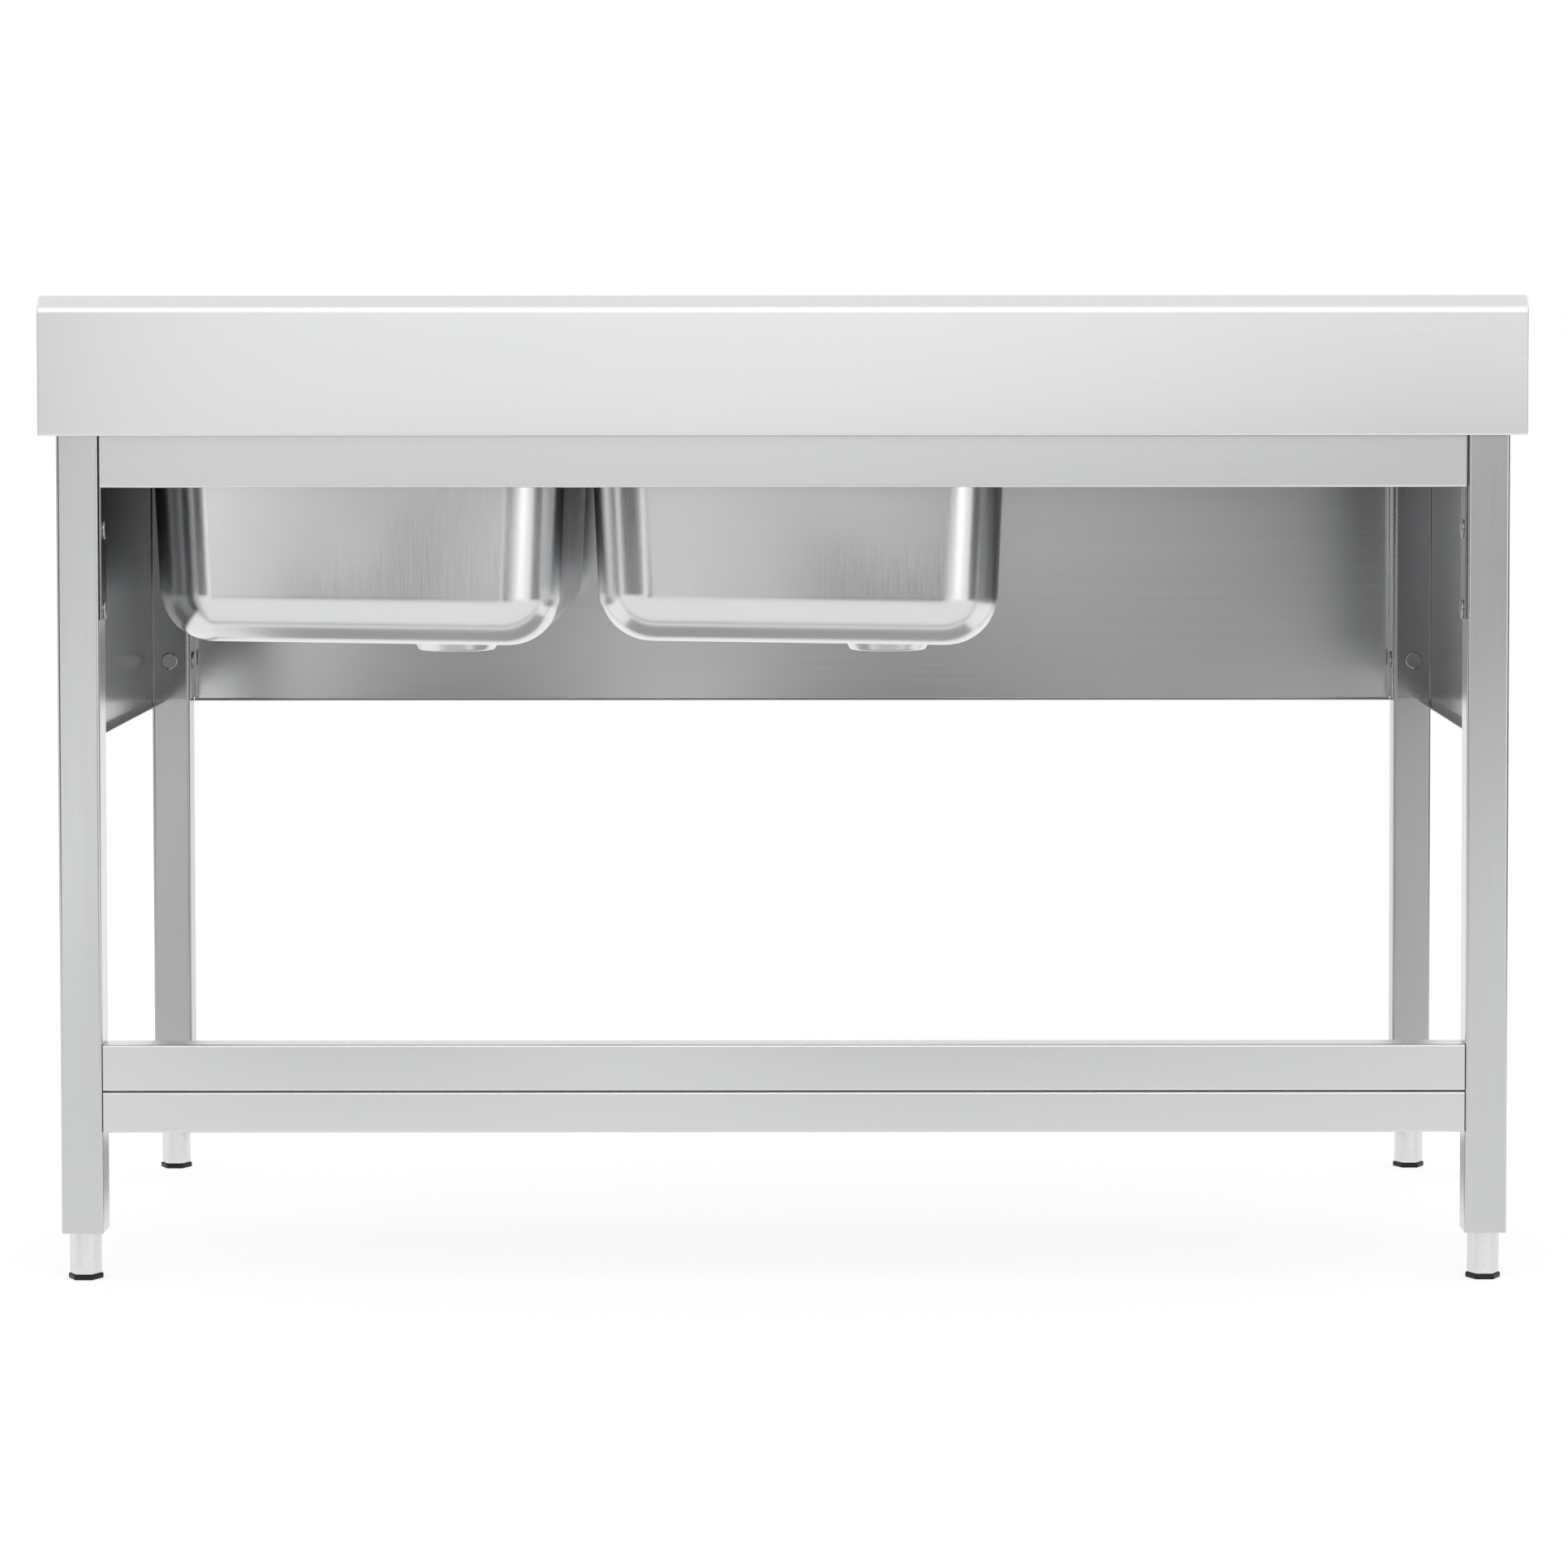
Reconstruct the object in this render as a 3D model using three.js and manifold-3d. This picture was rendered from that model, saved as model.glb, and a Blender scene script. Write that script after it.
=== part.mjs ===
// Free-standing stainless-steel sink unit: a folded worktop with a wall upstand, two drawn
// bowls and a drainer, on a bolted frame of square tubes with adjustable feet.
// Millimetres, +Z up. The open front with the apron faces -Y, the wall side faces +Y, and the
// origin lies on the floor under the middle of the worktop. Right is +X.
import * as THREE from 'three';
import { mergeVertices } from 'three/addons/utils/BufferGeometryUtils.js';
import Module from 'manifold-3d';

const wasm = await Module();
wasm.setup();

// ---------------------------------------------------------------- driving dimensions
const seat = 0.3; // clearance left where one piece lies on another

// Worktop
const unitLength = 1400;
const unitDepth = 700;
const deckHeight = 838.5;
const upstandRise = 98;
const upstandThickness = 15;
const upstandFlatTop = 5.5; // level strip on top, before the slope
const upstandSlopeDrop = 14; // height of the sloping strip above the wall face
const deckSheet = 1.2;
const deckFold = 3.2; // outside radius of the folded edges
const cornerRounding = 4;
const skirtDrop = 35;
const skirtHem = 12;

// Pressed field that holds the water in
const fieldDrop = 6;
const fieldSlope = 6; // how far the field's edge slopes inwards
const fieldCorner = 24;
const fieldSideMargin = 60;
const fieldFrontMargin = 42;
const fieldRearMargin = 104;

// Drainer grooves and the channels bonded under them
const groovePitch = 44;
const grooveWidth = 14;
const grooveDrop = 3;
const grooveSlope = 3;
const grooveEndMargin = 14;
const grooveEdgeMargin = 35;
const stiffenerDepth = 20;
const stiffenerClearance = 4;

// Tap hole in the rear ledge
const tapHole = 35;
const tapSetback = 60; // from the face of the upstand

// Bowls, sizes of the inside at the rim
const bowlWidth = 404;
const bowlFrontToBack = 504;
const bowlDrop = 241.5; // from the worktop to the underside of the bowl's middle
const bowlSheet = 1;
const bowlCorner = 56;
const bowlRoll = 50; // inside radius between wall and floor
const bowlDraft = THREE.MathUtils.degToRad(2.3);
const bowlFall = 0.015; // the floor falls towards the drainer side
const bowlBridge = 24.4;
const bowlEndMargin = 82; // from the end of the worktop
const bowlRearMargin = 126;
const rimLip = 3; // radius at the edge of each cut-out
const rimCollar = 5; // length of the turned-down edge below the field

// Stepped drain seat
const drainHole = 52;
const drainSeat = 75;
const drainStep = 86;
const drainDrop = 10;
const drainAside = 88; // from the bowl's middle, towards the drainer side
const drainBack = 115; // from the bowl's middle, towards the wall

// Legs
const legSize = 40;
const legWall = 1.5;
const legCorner = 3;
const legInsetEnds = 14;
const legInsetFront = 20;
const legInsetRear = 18;
const footPlugHeight = 40.4; // underside of the plastic insert above the floor

// Adjustable feet
const plugRim = 41.5;
const plugRimThickness = 5.2;
const plugRimCorner = 2.5;
const plugWall = 4; // wall above the bore
const footRetract = 30; // travel up from rest
const footExtend = 15; // travel down from rest
const footGuide = 10; // sleeve left in the insert when fully extended
const footThread = 12;
const nutSize = 19;
const nutHeight = 8;
const sleeveDiameter = 30;
const sleeveWall = 2;
const sleeveFloor = 3;
const wrenchSize = 27;
const wrenchHeight = 6;
const padAcross = 34; // across the corners
const padHeight = 5;
const padPocket = 3;
const padChamfer = 0.8;

// Panels
const panelSheet = 1;
const panelFold = 2; // outside radius of the folds
const panelHeight = 333; // from the underside of the deck to the lower edges
const flangeReach = 36; // width of the end flanges on the legs
const hemReach = 12;
const topFlangeReach = 18;
const foldRelief = 4; // height of the notch between a flange and a hem
const reliefHole = 3;

// Rails
const railSheet = 1.2;
const railFold = 2.4;
const railDepth = 30;
const rearRailHeight = 82.7;
const rearRailGap = 1.5; // open joint at each leg
const braceBottom = 142;
const braceLowerHeight = 38.7;
const braceUpperHeight = 44.1;
const braceJoint = 1; // open joint between the two channels
const braceGap = 0.5; // open joint at each leg
const bracketSheet = 2;
const bracketWidth = 32;
const bracketTab = 30;
const bracketHeight = 208; // from the underside of the deck

// Screws
const screwDiameter = 6;
const screwHead = 10; // across the flats
const screwHeadHeight = 4;
const washerDiameter = 18;
const washerThickness = 1.6;
const bushDiameter = 9;
const bushLength = 6;
const panelScrewMargin = 45; // from the upper and lower edges of a panel
const panelScrewInset = 19; // from the outer face of the legs
const bracketScrewMargin = 9; // from the lower end of a bracket
const bracketScrewPitch = 76;

// ---------------------------------------------------------------- places that follow
const halfLength = unitLength / 2;
const halfDepth = unitDepth / 2;
const deckUnderside = deckHeight - deckSheet;
const frameTop = deckUnderside - seat;
const unitTop = deckHeight + upstandRise;
const skirtBottom = deckHeight - skirtDrop;
const upstandFront = halfDepth - upstandThickness;

const fieldX = [-halfLength + fieldSideMargin, halfLength - fieldSideMargin];
const fieldY = [-halfDepth + fieldFrontMargin, halfDepth - fieldRearMargin];
const fieldFloor = deckHeight - fieldDrop;
const fieldUnderside = fieldFloor - deckSheet;
const miter = deckSheet * Math.tan(Math.PI / 8); // keeps a 45 degree wall at full thickness

const rimBottom = fieldFloor - rimLip - rimCollar + deckSheet;
const bowlTop = rimBottom - seat;
const bowlY = halfDepth - bowlRearMargin - bowlFrontToBack / 2;
const rightBowlX = halfLength - bowlEndMargin - bowlWidth / 2;
const leftBowlX = rightBowlX - bowlWidth - bowlBridge;
const bowlUnderside = deckHeight - bowlDrop;
const tapX = (rightBowlX + leftBowlX) / 2;
const tapY = upstandFront - tapSetback;

const legOuter = halfLength - legInsetEnds;
const legInner = legOuter - legSize;
const legX = legOuter - legSize / 2;
const frontLegFront = -halfDepth + legInsetFront;
const frontLegBack = frontLegFront + legSize;
const frontLegY = frontLegFront + legSize / 2;
const rearLegBack = halfDepth - legInsetRear;
const rearLegFront = rearLegBack - legSize;
const rearLegY = rearLegBack - legSize / 2;
const legBottom = footPlugHeight + plugRimThickness + seat;

const sleeveTop = footPlugHeight + footExtend + footGuide;
const plugBoreTop = sleeveTop + footRetract + seat;
const plugShelf = plugBoreTop + plugWall;
const plugTop = plugShelf + nutHeight;
const spindleTop = plugTop + footExtend + nutHeight;

const screwHole = screwDiameter + 2 * seat;
const panelBottom = frameTop - panelHeight;
const panelScrewLow = panelBottom + panelScrewMargin;
const panelScrewHigh = frameTop - panelScrewMargin;
const panelScrewX = legOuter - panelScrewInset;
const railFront = rearLegBack - railDepth;
const rearRailBottom = frameTop - rearRailHeight;
const bracketBottom = frameTop - bracketHeight;
const bracketScrewLow = bracketBottom + bracketScrewMargin;
const bracketScrewHigh = bracketScrewLow + bracketScrewPitch;
const bracketPlateInner = legInner - seat - bracketSheet;
const braceUpperBottom = braceBottom + braceLowerHeight + braceJoint;

// ---------------------------------------------------------------- materials
function metal(color, roughness) {
  return new THREE.MeshStandardMaterial({ color, roughness, metalness: 1 });
}
const brushedSteel = metal(0xd2d3d4, 0.34);
const drawnSteel = metal(0xc9cbcd, 0.22);
const zincSteel = metal(0xbfc1c4, 0.3);
const satinFoot = metal(0xd8d8d6, 0.4);
const blackPlastic = new THREE.MeshStandardMaterial({ color: 0x161616, roughness: 0.55 });

// ---------------------------------------------------------------- solids
function toSolid(geometry) {
  const bare = geometry.clone();
  bare.deleteAttribute('normal');
  bare.deleteAttribute('uv');
  const merged = mergeVertices(bare, 1e-4);
  const corners = merged.index.array;
  const kept = [];
  for (let i = 0; i < corners.length; i += 3) {
    const [a, b, c] = [corners[i], corners[i + 1], corners[i + 2]];
    if (a !== b && b !== c && c !== a) kept.push(a, b, c);
  }
  return new wasm.Manifold(new wasm.Mesh({
    numProp: 3,
    vertProperties: new Float32Array(merged.attributes.position.array),
    triVerts: new Uint32Array(kept),
  }));
}

function toGeometry(solid) {
  const mesh = solid.getMesh();
  const geometry = new THREE.BufferGeometry();
  geometry.setAttribute('position', new THREE.BufferAttribute(mesh.vertProperties, 3));
  geometry.setIndex(new THREE.BufferAttribute(mesh.triVerts, 1));
  geometry.computeVertexNormals();
  return geometry;
}

function join(...solids) {
  return solids.reduce((whole, next) => whole.add(next));
}

function cut(solid, ...tools) {
  return tools.reduce((left, tool) => left.subtract(tool), solid);
}

function block([x0, x1], [y0, y1], [z0, z1]) {
  const geometry = new THREE.BoxGeometry(Math.abs(x1 - x0), Math.abs(y1 - y0), Math.abs(z1 - z0));
  return toSolid(geometry.translate((x0 + x1) / 2, (y0 + y1) / 2, (z0 + z1) / 2));
}

// An upright prism about the Z axis, with its first corner towards +X.
function prism(radius, sides, z0, z1) {
  const geometry = new THREE.CylinderGeometry(radius, radius, z1 - z0, sides);
  return geometry.rotateX(Math.PI / 2).rotateZ(Math.PI / 2).translate(0, 0, (z0 + z1) / 2);
}

function upright(x, y, diameter, sides, z0, z1) {
  return toSolid(prism(diameter / 2, sides, z0, z1).translate(x, y, 0));
}

// A round bar between two points.
function rod(from, to, diameter, sides) {
  const line = new THREE.Vector3().subVectors(to, from);
  const turn = new THREE.Quaternion().setFromUnitVectors(
    new THREE.Vector3(0, 0, 1), line.clone().normalize());
  const geometry = prism(diameter / 2, sides, 0, line.length());
  return toSolid(geometry.applyQuaternion(turn).translate(from.x, from.y, from.z));
}

function turned(profile, sides) {
  return toSolid(new THREE.LatheGeometry(profile.map(([r, z]) => new THREE.Vector2(r, z)), sides)
    .rotateX(Math.PI / 2));
}

// Extrudes an outline along an axis. Its two coordinates are (Y, Z) along x, (X, Z) along y
// and (X, Y) along z.
function extrude(axis, outline, from, to) {
  const geometry = new THREE.ExtrudeGeometry(outline, { depth: to - from, bevelEnabled: false });
  const [ex, ey, ez] = [[1, 0, 0], [0, 1, 0], [0, 0, 1]].map((v) => new THREE.Vector3(...v));
  const frames = {
    x: new THREE.Matrix4().makeBasis(ey, ez, ex).setPosition(from, 0, 0),
    y: new THREE.Matrix4().makeBasis(ex, ez, ey.clone().negate()).setPosition(0, to, 0),
    z: new THREE.Matrix4().setPosition(0, 0, from),
  };
  return toSolid(geometry.applyMatrix4(frames[axis]));
}

// The outline of a bent sheet. The line runs along the middle of the sheet, and each of its
// corners becomes a round fold with the given outside radius.
function bentSheet(line, sheet, fold, steps = 4) {
  const half = sheet / 2;
  const radius = fold - half;
  const heading = (a, b) => Math.atan2(b[1] - a[1], b[0] - a[0]);
  const left = [];
  const right = [];
  const mark = (x, y, angle, shift) => {
    const normal = new THREE.Vector2(-Math.sin(angle), Math.cos(angle));
    left.push(new THREE.Vector2(x, y).addScaledVector(normal, shift + half));
    right.push(new THREE.Vector2(x, y).addScaledVector(normal, shift - half));
  };
  mark(...line[0], heading(line[0], line[1]), 0);
  for (let i = 1; i < line.length - 1; i += 1) {
    const from = heading(line[i - 1], line[i]);
    const to = heading(line[i], line[i + 1]);
    const bend = Math.atan2(Math.sin(to - from), Math.cos(to - from));
    const side = Math.sign(bend);
    const back = radius * Math.tan(Math.abs(bend) / 2);
    const x = line[i][0] - back * Math.cos(from) - side * radius * Math.sin(from);
    const y = line[i][1] - back * Math.sin(from) + side * radius * Math.cos(from);
    for (let k = 0; k <= steps; k += 1) mark(x, y, from + (bend * k) / steps, -side * radius);
  }
  mark(...line.at(-1), heading(line.at(-2), line.at(-1)), 0);
  return new THREE.Shape([...left, ...right.reverse()]);
}

// The corner points of a rectangle with round corners, counter-clockwise.
function roundedRectangle([x0, x1], [y0, y1], radius, steps = 5) {
  const corners = [[x1, y0, -90], [x1, y1, 0], [x0, y1, 90], [x0, y0, 180]];
  const middle = [(x0 + x1) / 2, (y0 + y1) / 2];
  return corners.flatMap(([x, y, start]) => {
    const cx = x + radius * Math.sign(middle[0] - x);
    const cy = y + radius * Math.sign(middle[1] - y);
    return Array.from({ length: steps + 1 }, (_, k) => {
      const angle = THREE.MathUtils.degToRad(start + (90 * k) / steps);
      return new THREE.Vector2(cx + radius * Math.cos(angle), cy + radius * Math.sin(angle));
    });
  });
}

// A closed skin over a stack of rings with equal point counts, lowest ring first.
function loft(rings) {
  const count = rings[0].length;
  const points = rings.flat();
  const triangles = [];
  for (let ring = 0; ring < rings.length - 1; ring += 1) {
    for (let k = 0; k < count; k += 1) {
      const [a, b] = [ring * count + k, ring * count + ((k + 1) % count)];
      triangles.push(a, b, b + count, a, b + count, a + count);
    }
  }
  const top = (rings.length - 1) * count;
  for (let k = 1; k < count - 1; k += 1) {
    triangles.push(0, k + 1, k, top, top + k, top + k + 1);
  }
  const geometry = new THREE.BufferGeometry().setFromPoints(points);
  return toSolid(geometry.setIndex(triangles));
}

// One ring of a loft: a rounded rectangle grown by an offset, at a height.
function ring(xRange, yRange, radius, grow, z, steps) {
  const spread = ([a, b]) => [a - grow, b + grow];
  const corner = Math.max(radius + grow, 0.5);
  return roundedRectangle(spread(xRange), spread(yRange), corner, steps)
    .map((p) => new THREE.Vector3(p.x, p.y, z));
}

// Facets round the feet, their threads and the screw holes.
const roundSides = 24;
const threadSides = 12;
const holeSides = 8;

const unit = new THREE.Group();

function place(name, geometry, material, parent = unit) {
  const mesh = new THREE.Mesh(geometry, material.clone());
  mesh.name = name;
  parent.add(mesh);
  return mesh;
}

// ---------------------------------------------------------------- screws and their holes
// Each screw stands on one leg face: a point on the face, the way its head faces, the sheet
// that it holds and the pieces that it joins.
function screwPlan() {
  const plan = [];
  for (const [hand, side] of [['left', -1], ['right', 1]]) {
    const sideways = new THREE.Vector3(-side, 0, 0);
    for (const [level, z] of [['low', panelScrewLow], ['high', panelScrewHigh]]) {
      plan.push({
        name: `screw_side_panel_front_${hand}_${level}`, leg: `leg_front_${hand}`,
        part: `side_panel_${hand}`, sheet: panelSheet,
        at: new THREE.Vector3(side * panelScrewX, frontLegBack, z), out: new THREE.Vector3(0, 1, 0),
      }, {
        name: `screw_side_panel_rear_${hand}_${level}`, leg: `leg_rear_${hand}`,
        part: `side_panel_${hand}`, sheet: panelSheet,
        at: new THREE.Vector3(side * panelScrewX, rearLegFront, z), out: new THREE.Vector3(0, -1, 0),
      }, {
        name: `screw_apron_${hand}_${level}`, leg: `leg_front_${hand}`,
        part: 'front_apron', sheet: panelSheet,
        at: new THREE.Vector3(side * legInner, frontLegY, z), out: sideways,
      });
    }
    for (const [level, z] of [['low', bracketScrewLow], ['high', bracketScrewHigh]]) {
      plan.push({
        name: `screw_rear_bracket_${hand}_${level}`, leg: `leg_rear_${hand}`,
        part: `rear_bracket_${hand}`, sheet: bracketSheet,
        at: new THREE.Vector3(side * legInner, rearLegY, z), out: sideways,
      });
    }
    for (const [level, bottom, height] of braceChannels()) {
      plan.push({
        name: `screw_brace_${level}_${hand}`, leg: `leg_rear_${hand}`,
        part: `brace_${level}`, sheet: railSheet,
        at: new THREE.Vector3(side * legInner, rearLegBack - railDepth / 2, bottom + height / 2),
        out: sideways,
      });
    }
  }
  return plan;
}

function braceChannels() {
  return [['lower', braceBottom, braceLowerHeight], ['upper', braceUpperBottom, braceUpperHeight]];
}

const screws = screwPlan();

function along(screw, distance) {
  return screw.at.clone().addScaledVector(screw.out, distance);
}

function screwHoles(key, name) {
  const reach = seat + bracketSheet + washerThickness;
  return screws.filter((screw) => screw[key] === name)
    .map((screw) => rod(along(screw, -legWall - bushLength - 1), along(screw, reach), screwHole, holeSides));
}

function screwShape(sheet) {
  const shank = sheet + 2 * seat + legWall + bushLength;
  const top = washerThickness + screwHeadHeight;
  const head = prism(screwHead / Math.sqrt(3), 6, 0, top);
  return toGeometry(join(
    toSolid(prism(screwDiameter / 2, 8, -shank, seat)),
    toSolid(prism(washerDiameter / 2, 16, 0, washerThickness)),
    toSolid(head),
  ));
}

function addScrews() {
  for (const screw of screws) {
    const mesh = place(screw.name, screwShape(screw.sheet), zincSteel);
    mesh.position.copy(along(screw, screw.sheet + 2 * seat));
    mesh.quaternion.setFromUnitVectors(new THREE.Vector3(0, 0, 1), screw.out);
  }
}

// ---------------------------------------------------------------- worktop
function deckTray() {
  const x = [-halfLength, halfLength];
  const y = [-halfDepth, halfDepth];
  const shell = (inset, bottom) => {
    const top = deckHeight - inset;
    const fold = deckFold - inset;
    const rings = [ring(x, y, cornerRounding, -inset, bottom)];
    for (const angle of [0, 22.5, 45, 67.5, 90].map(THREE.MathUtils.degToRad)) {
      const step = fold * (1 - Math.cos(angle));
      rings.push(ring(x, y, cornerRounding, -inset - step, top - fold * (1 - Math.sin(angle))));
    }
    return loft(rings);
  };
  return { outer: shell(0, skirtBottom), inner: shell(deckSheet, skirtBottom - 1) };
}

// The upstand's section, from its front face over the top and down the wall face.
function upstandSection(inset, bottom) {
  const slopeBack = halfDepth - inset;
  const front = upstandFront + inset;
  const top = unitTop - inset;
  const slopeFront = upstandFront + upstandFlatTop;
  return new THREE.Shape([
    new THREE.Vector2(front, bottom),
    new THREE.Vector2(slopeBack, bottom),
    new THREE.Vector2(slopeBack, unitTop - upstandSlopeDrop),
    new THREE.Vector2(slopeBack - 0.6, unitTop - upstandSlopeDrop + 1.8 - inset / 2),
    new THREE.Vector2(slopeFront + 0.9, top - 0.8),
    new THREE.Vector2(slopeFront - 0.8, top),
    new THREE.Vector2(front + 1, top),
    new THREE.Vector2(front, top - 1),
  ]);
}

function hemFrame() {
  const outer = block([-halfLength + deckSheet / 2, halfLength - deckSheet / 2],
    [-halfDepth + deckSheet / 2, halfDepth - deckSheet / 2], [skirtBottom, skirtBottom + deckSheet]);
  const opening = block([-halfLength + skirtHem, halfLength - skirtHem],
    [-halfDepth + skirtHem, halfDepth - skirtHem], [skirtBottom - 1, skirtBottom + deckSheet + 1]);
  return cut(outer, opening);
}

// The field is pressed below the deck, with sloping edges.
function pressedField() {
  const corner = fieldCorner;
  return {
    outer: loft([
      ring(fieldX, fieldY, corner, -fieldSlope + miter, fieldUnderside),
      ring(fieldX, fieldY, corner, miter, deckUnderside),
      ring(fieldX, fieldY, corner, miter, deckHeight - deckSheet / 2),
    ]),
    inner: loft([
      ring(fieldX, fieldY, corner, -fieldSlope, fieldFloor),
      ring(fieldX, fieldY, corner, 0, deckHeight),
      ring(fieldX, fieldY, corner, 0, deckHeight + 1),
    ]),
  };
}

function grooveRows() {
  const span = fieldY[1] - fieldY[0] - 2 * (fieldSlope + grooveEdgeMargin);
  const count = Math.floor(span / groovePitch) + 1;
  const middle = (fieldY[0] + fieldY[1]) / 2;
  return Array.from({ length: count }, (_, k) => middle + (k - (count - 1) / 2) * groovePitch);
}

function grooveX() {
  const bowlEdge = leftBowlX - bowlWidth / 2 - rimLip;
  return [fieldX[0] + fieldSlope + grooveEndMargin, bowlEdge - grooveEndMargin];
}

function groove(y) {
  const yRange = [y - grooveWidth / 2, y + grooveWidth / 2];
  const corner = grooveWidth / 2;
  const floor = fieldFloor - grooveDrop;
  const round = (grow, z) => ring(grooveX(), yRange, corner - 0.1, grow, z, 3);
  return {
    outer: loft([
      round(-grooveSlope + miter, floor - deckSheet),
      round(miter, fieldUnderside),
      round(miter, fieldFloor - deckSheet / 2),
    ]),
    inner: loft([
      round(-grooveSlope, floor),
      round(0, fieldFloor),
      round(0, fieldFloor + 1),
    ]),
  };
}

function bowlSpan(centre) {
  return [centre - bowlWidth / 2, centre + bowlWidth / 2];
}

const bowlYSpan = [bowlY - bowlFrontToBack / 2, bowlY + bowlFrontToBack / 2];

// The turned-down edge round a bowl's cut-out.
function rimCollarAt(centre) {
  const start = fieldFloor - rimLip;
  const at = (grow, z) => ring(bowlSpan(centre), bowlYSpan, bowlCorner, grow, z, 6);
  const lip = (grow, radius) => [0, 30, 60, 90].map(THREE.MathUtils.degToRad).map((angle) => (
    at(grow + radius * (1 - Math.cos(angle)), start + radius * Math.sin(angle))));
  return {
    outer: loft([
      at(deckSheet, rimBottom),
      ...lip(deckSheet, rimLip - deckSheet),
      at(rimLip, fieldFloor - deckSheet / 2),
    ]),
    inner: loft([
      at(0, rimBottom - 1),
      ...lip(0, rimLip),
      at(rimLip, fieldFloor + 1),
    ]),
  };
}

function addWorktop() {
  const tray = deckTray();
  const field = pressedField();
  const pressings = [
    ...grooveRows().map(groove),
    rimCollarAt(rightBowlX),
    rimCollarAt(leftBowlX),
  ];
  const upstandOuter = extrude('x', upstandSection(0, skirtBottom), -halfLength, halfLength);
  const upstandInner = extrude('x', upstandSection(deckSheet, skirtBottom - 1),
    -halfLength + deckSheet, halfLength - deckSheet);
  const shell = join(cut(join(tray.outer, upstandOuter), tray.inner, upstandInner), hemFrame());
  const pressed = cut(join(shell, field.outer), field.inner);
  const shaped = cut(join(pressed, ...pressings.map((p) => p.outer)),
    ...pressings.map((p) => p.inner));
  const hole = upright(tapX, tapY, tapHole, 32, deckUnderside - 1, deckHeight + 1);
  place('worktop', toGeometry(cut(shaped, hole)), brushedSteel);
}

function addStiffeners() {
  const rows = grooveRows();
  const width = groovePitch - grooveWidth - stiffenerClearance;
  const top = fieldUnderside - seat;
  const [x0, x1] = grooveX();
  const half = deckSheet / 2;
  const quarter = Math.floor(rows.length / 4);
  for (const [name, row] of [['front', quarter], ['rear', rows.length - 2 - quarter]]) {
    const y = (rows[row] + rows[row + 1]) / 2;
    const section = bentSheet([
      [y - width / 2 + half, top - stiffenerDepth],
      [y - width / 2 + half, top - half],
      [y + width / 2 - half, top - half],
      [y + width / 2 - half, top - stiffenerDepth],
    ], deckSheet, railFold);
    place(`drainer_stiffener_${name}`, toGeometry(extrude('x', section, x0, x1)), brushedSteel);
  }
}

// ---------------------------------------------------------------- bowls
// The skin of a bowl: a floor that falls towards one side, a round roll and a drafted wall.
function bowlSkin(centre, grow, top) {
  const roll = bowlRoll + grow;
  const floor = bowlUnderside + bowlSheet - grow;
  const at = (z, inset, tilt) => {
    const draft = (bowlTop - z) * Math.tan(bowlDraft);
    const outline = ring(bowlSpan(centre), bowlYSpan, bowlCorner + draft, grow - draft - inset, z, 6);
    return outline.map((p) => p.setZ(p.z + tilt * bowlFall * (p.x - centre)));
  };
  const rings = [0, 18, 36, 54, 72, 90].map(THREE.MathUtils.degToRad).map((angle) => (
    at(floor + roll * (1 - Math.cos(angle)), roll * (1 - Math.sin(angle)), 1)));
  return loft([...rings, at(top, 0, 0)]);
}

function addBowl(name, centre) {
  const x = centre - drainAside;
  const y = bowlY + drainBack;
  const seatBottom = bowlUnderside - bowlFall * drainAside - drainDrop;
  const well = (grow, bottom) => turned([
    [0, bottom],
    [drainSeat / 2 + grow, bottom],
    [drainStep / 2 + grow, bottom + drainDrop],
    [drainStep / 2 + grow, bottom + drainDrop + 3],
    [0, bottom + drainDrop + 3],
  ], 32).translate([x, y, 0]);
  const outer = join(bowlSkin(centre, bowlSheet, bowlTop), well(0, seatBottom));
  const solid = cut(
    outer,
    bowlSkin(centre, 0, bowlTop + 1),
    well(-bowlSheet, seatBottom + bowlSheet),
    upright(x, y, drainHole, 32, seatBottom - 1, seatBottom + drainDrop),
  );
  place(name, toGeometry(solid), drawnSteel);
}

// ---------------------------------------------------------------- legs and feet
function legSection() {
  const half = legSize / 2;
  const outline = (inset) => roundedRectangle(
    [-half + inset, half - inset], [-half + inset, half - inset], legCorner - inset, 3);
  const shape = new THREE.Shape(outline(0));
  shape.holes.push(new THREE.Path(outline(legWall)));
  return shape;
}

function addLeg(name, x, y) {
  const tube = extrude('z', legSection(), legBottom, frameTop).translate([x, y, 0]);
  const bushes = screws.filter((screw) => screw.leg === name)
    .map((s) => rod(along(s, -legWall / 2), along(s, -legWall - bushLength), bushDiameter, holeSides));
  const solid = cut(join(tube, ...bushes), ...screwHoles('leg', name));
  place(name, toGeometry(solid), brushedSteel);
}

function plugShape() {
  const inside = legSize / 2 - legWall - seat;
  const rim = plugRim / 2;
  const bottom = footPlugHeight;
  const body = roundedRectangle([-inside, inside], [-inside, inside], legCorner - legWall, 2);
  const lip = roundedRectangle([-rim, rim], [-rim, rim], plugRimCorner, 3);
  const bore = sleeveDiameter + 2 * seat;
  return toGeometry(cut(
    join(
      extrude('z', new THREE.Shape(lip), bottom, bottom + plugRimThickness),
      extrude('z', new THREE.Shape(body), bottom + 1, plugTop),
    ),
    upright(0, 0, bore, roundSides, bottom - 1, plugBoreTop),
    upright(0, 0, footThread + 2 * seat, threadSides, plugBoreTop - 1, plugTop + 1),
    toSolid(prism(nutSize / Math.sqrt(3) + seat, 6, plugShelf, plugTop + 1)),
  ));
}

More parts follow.
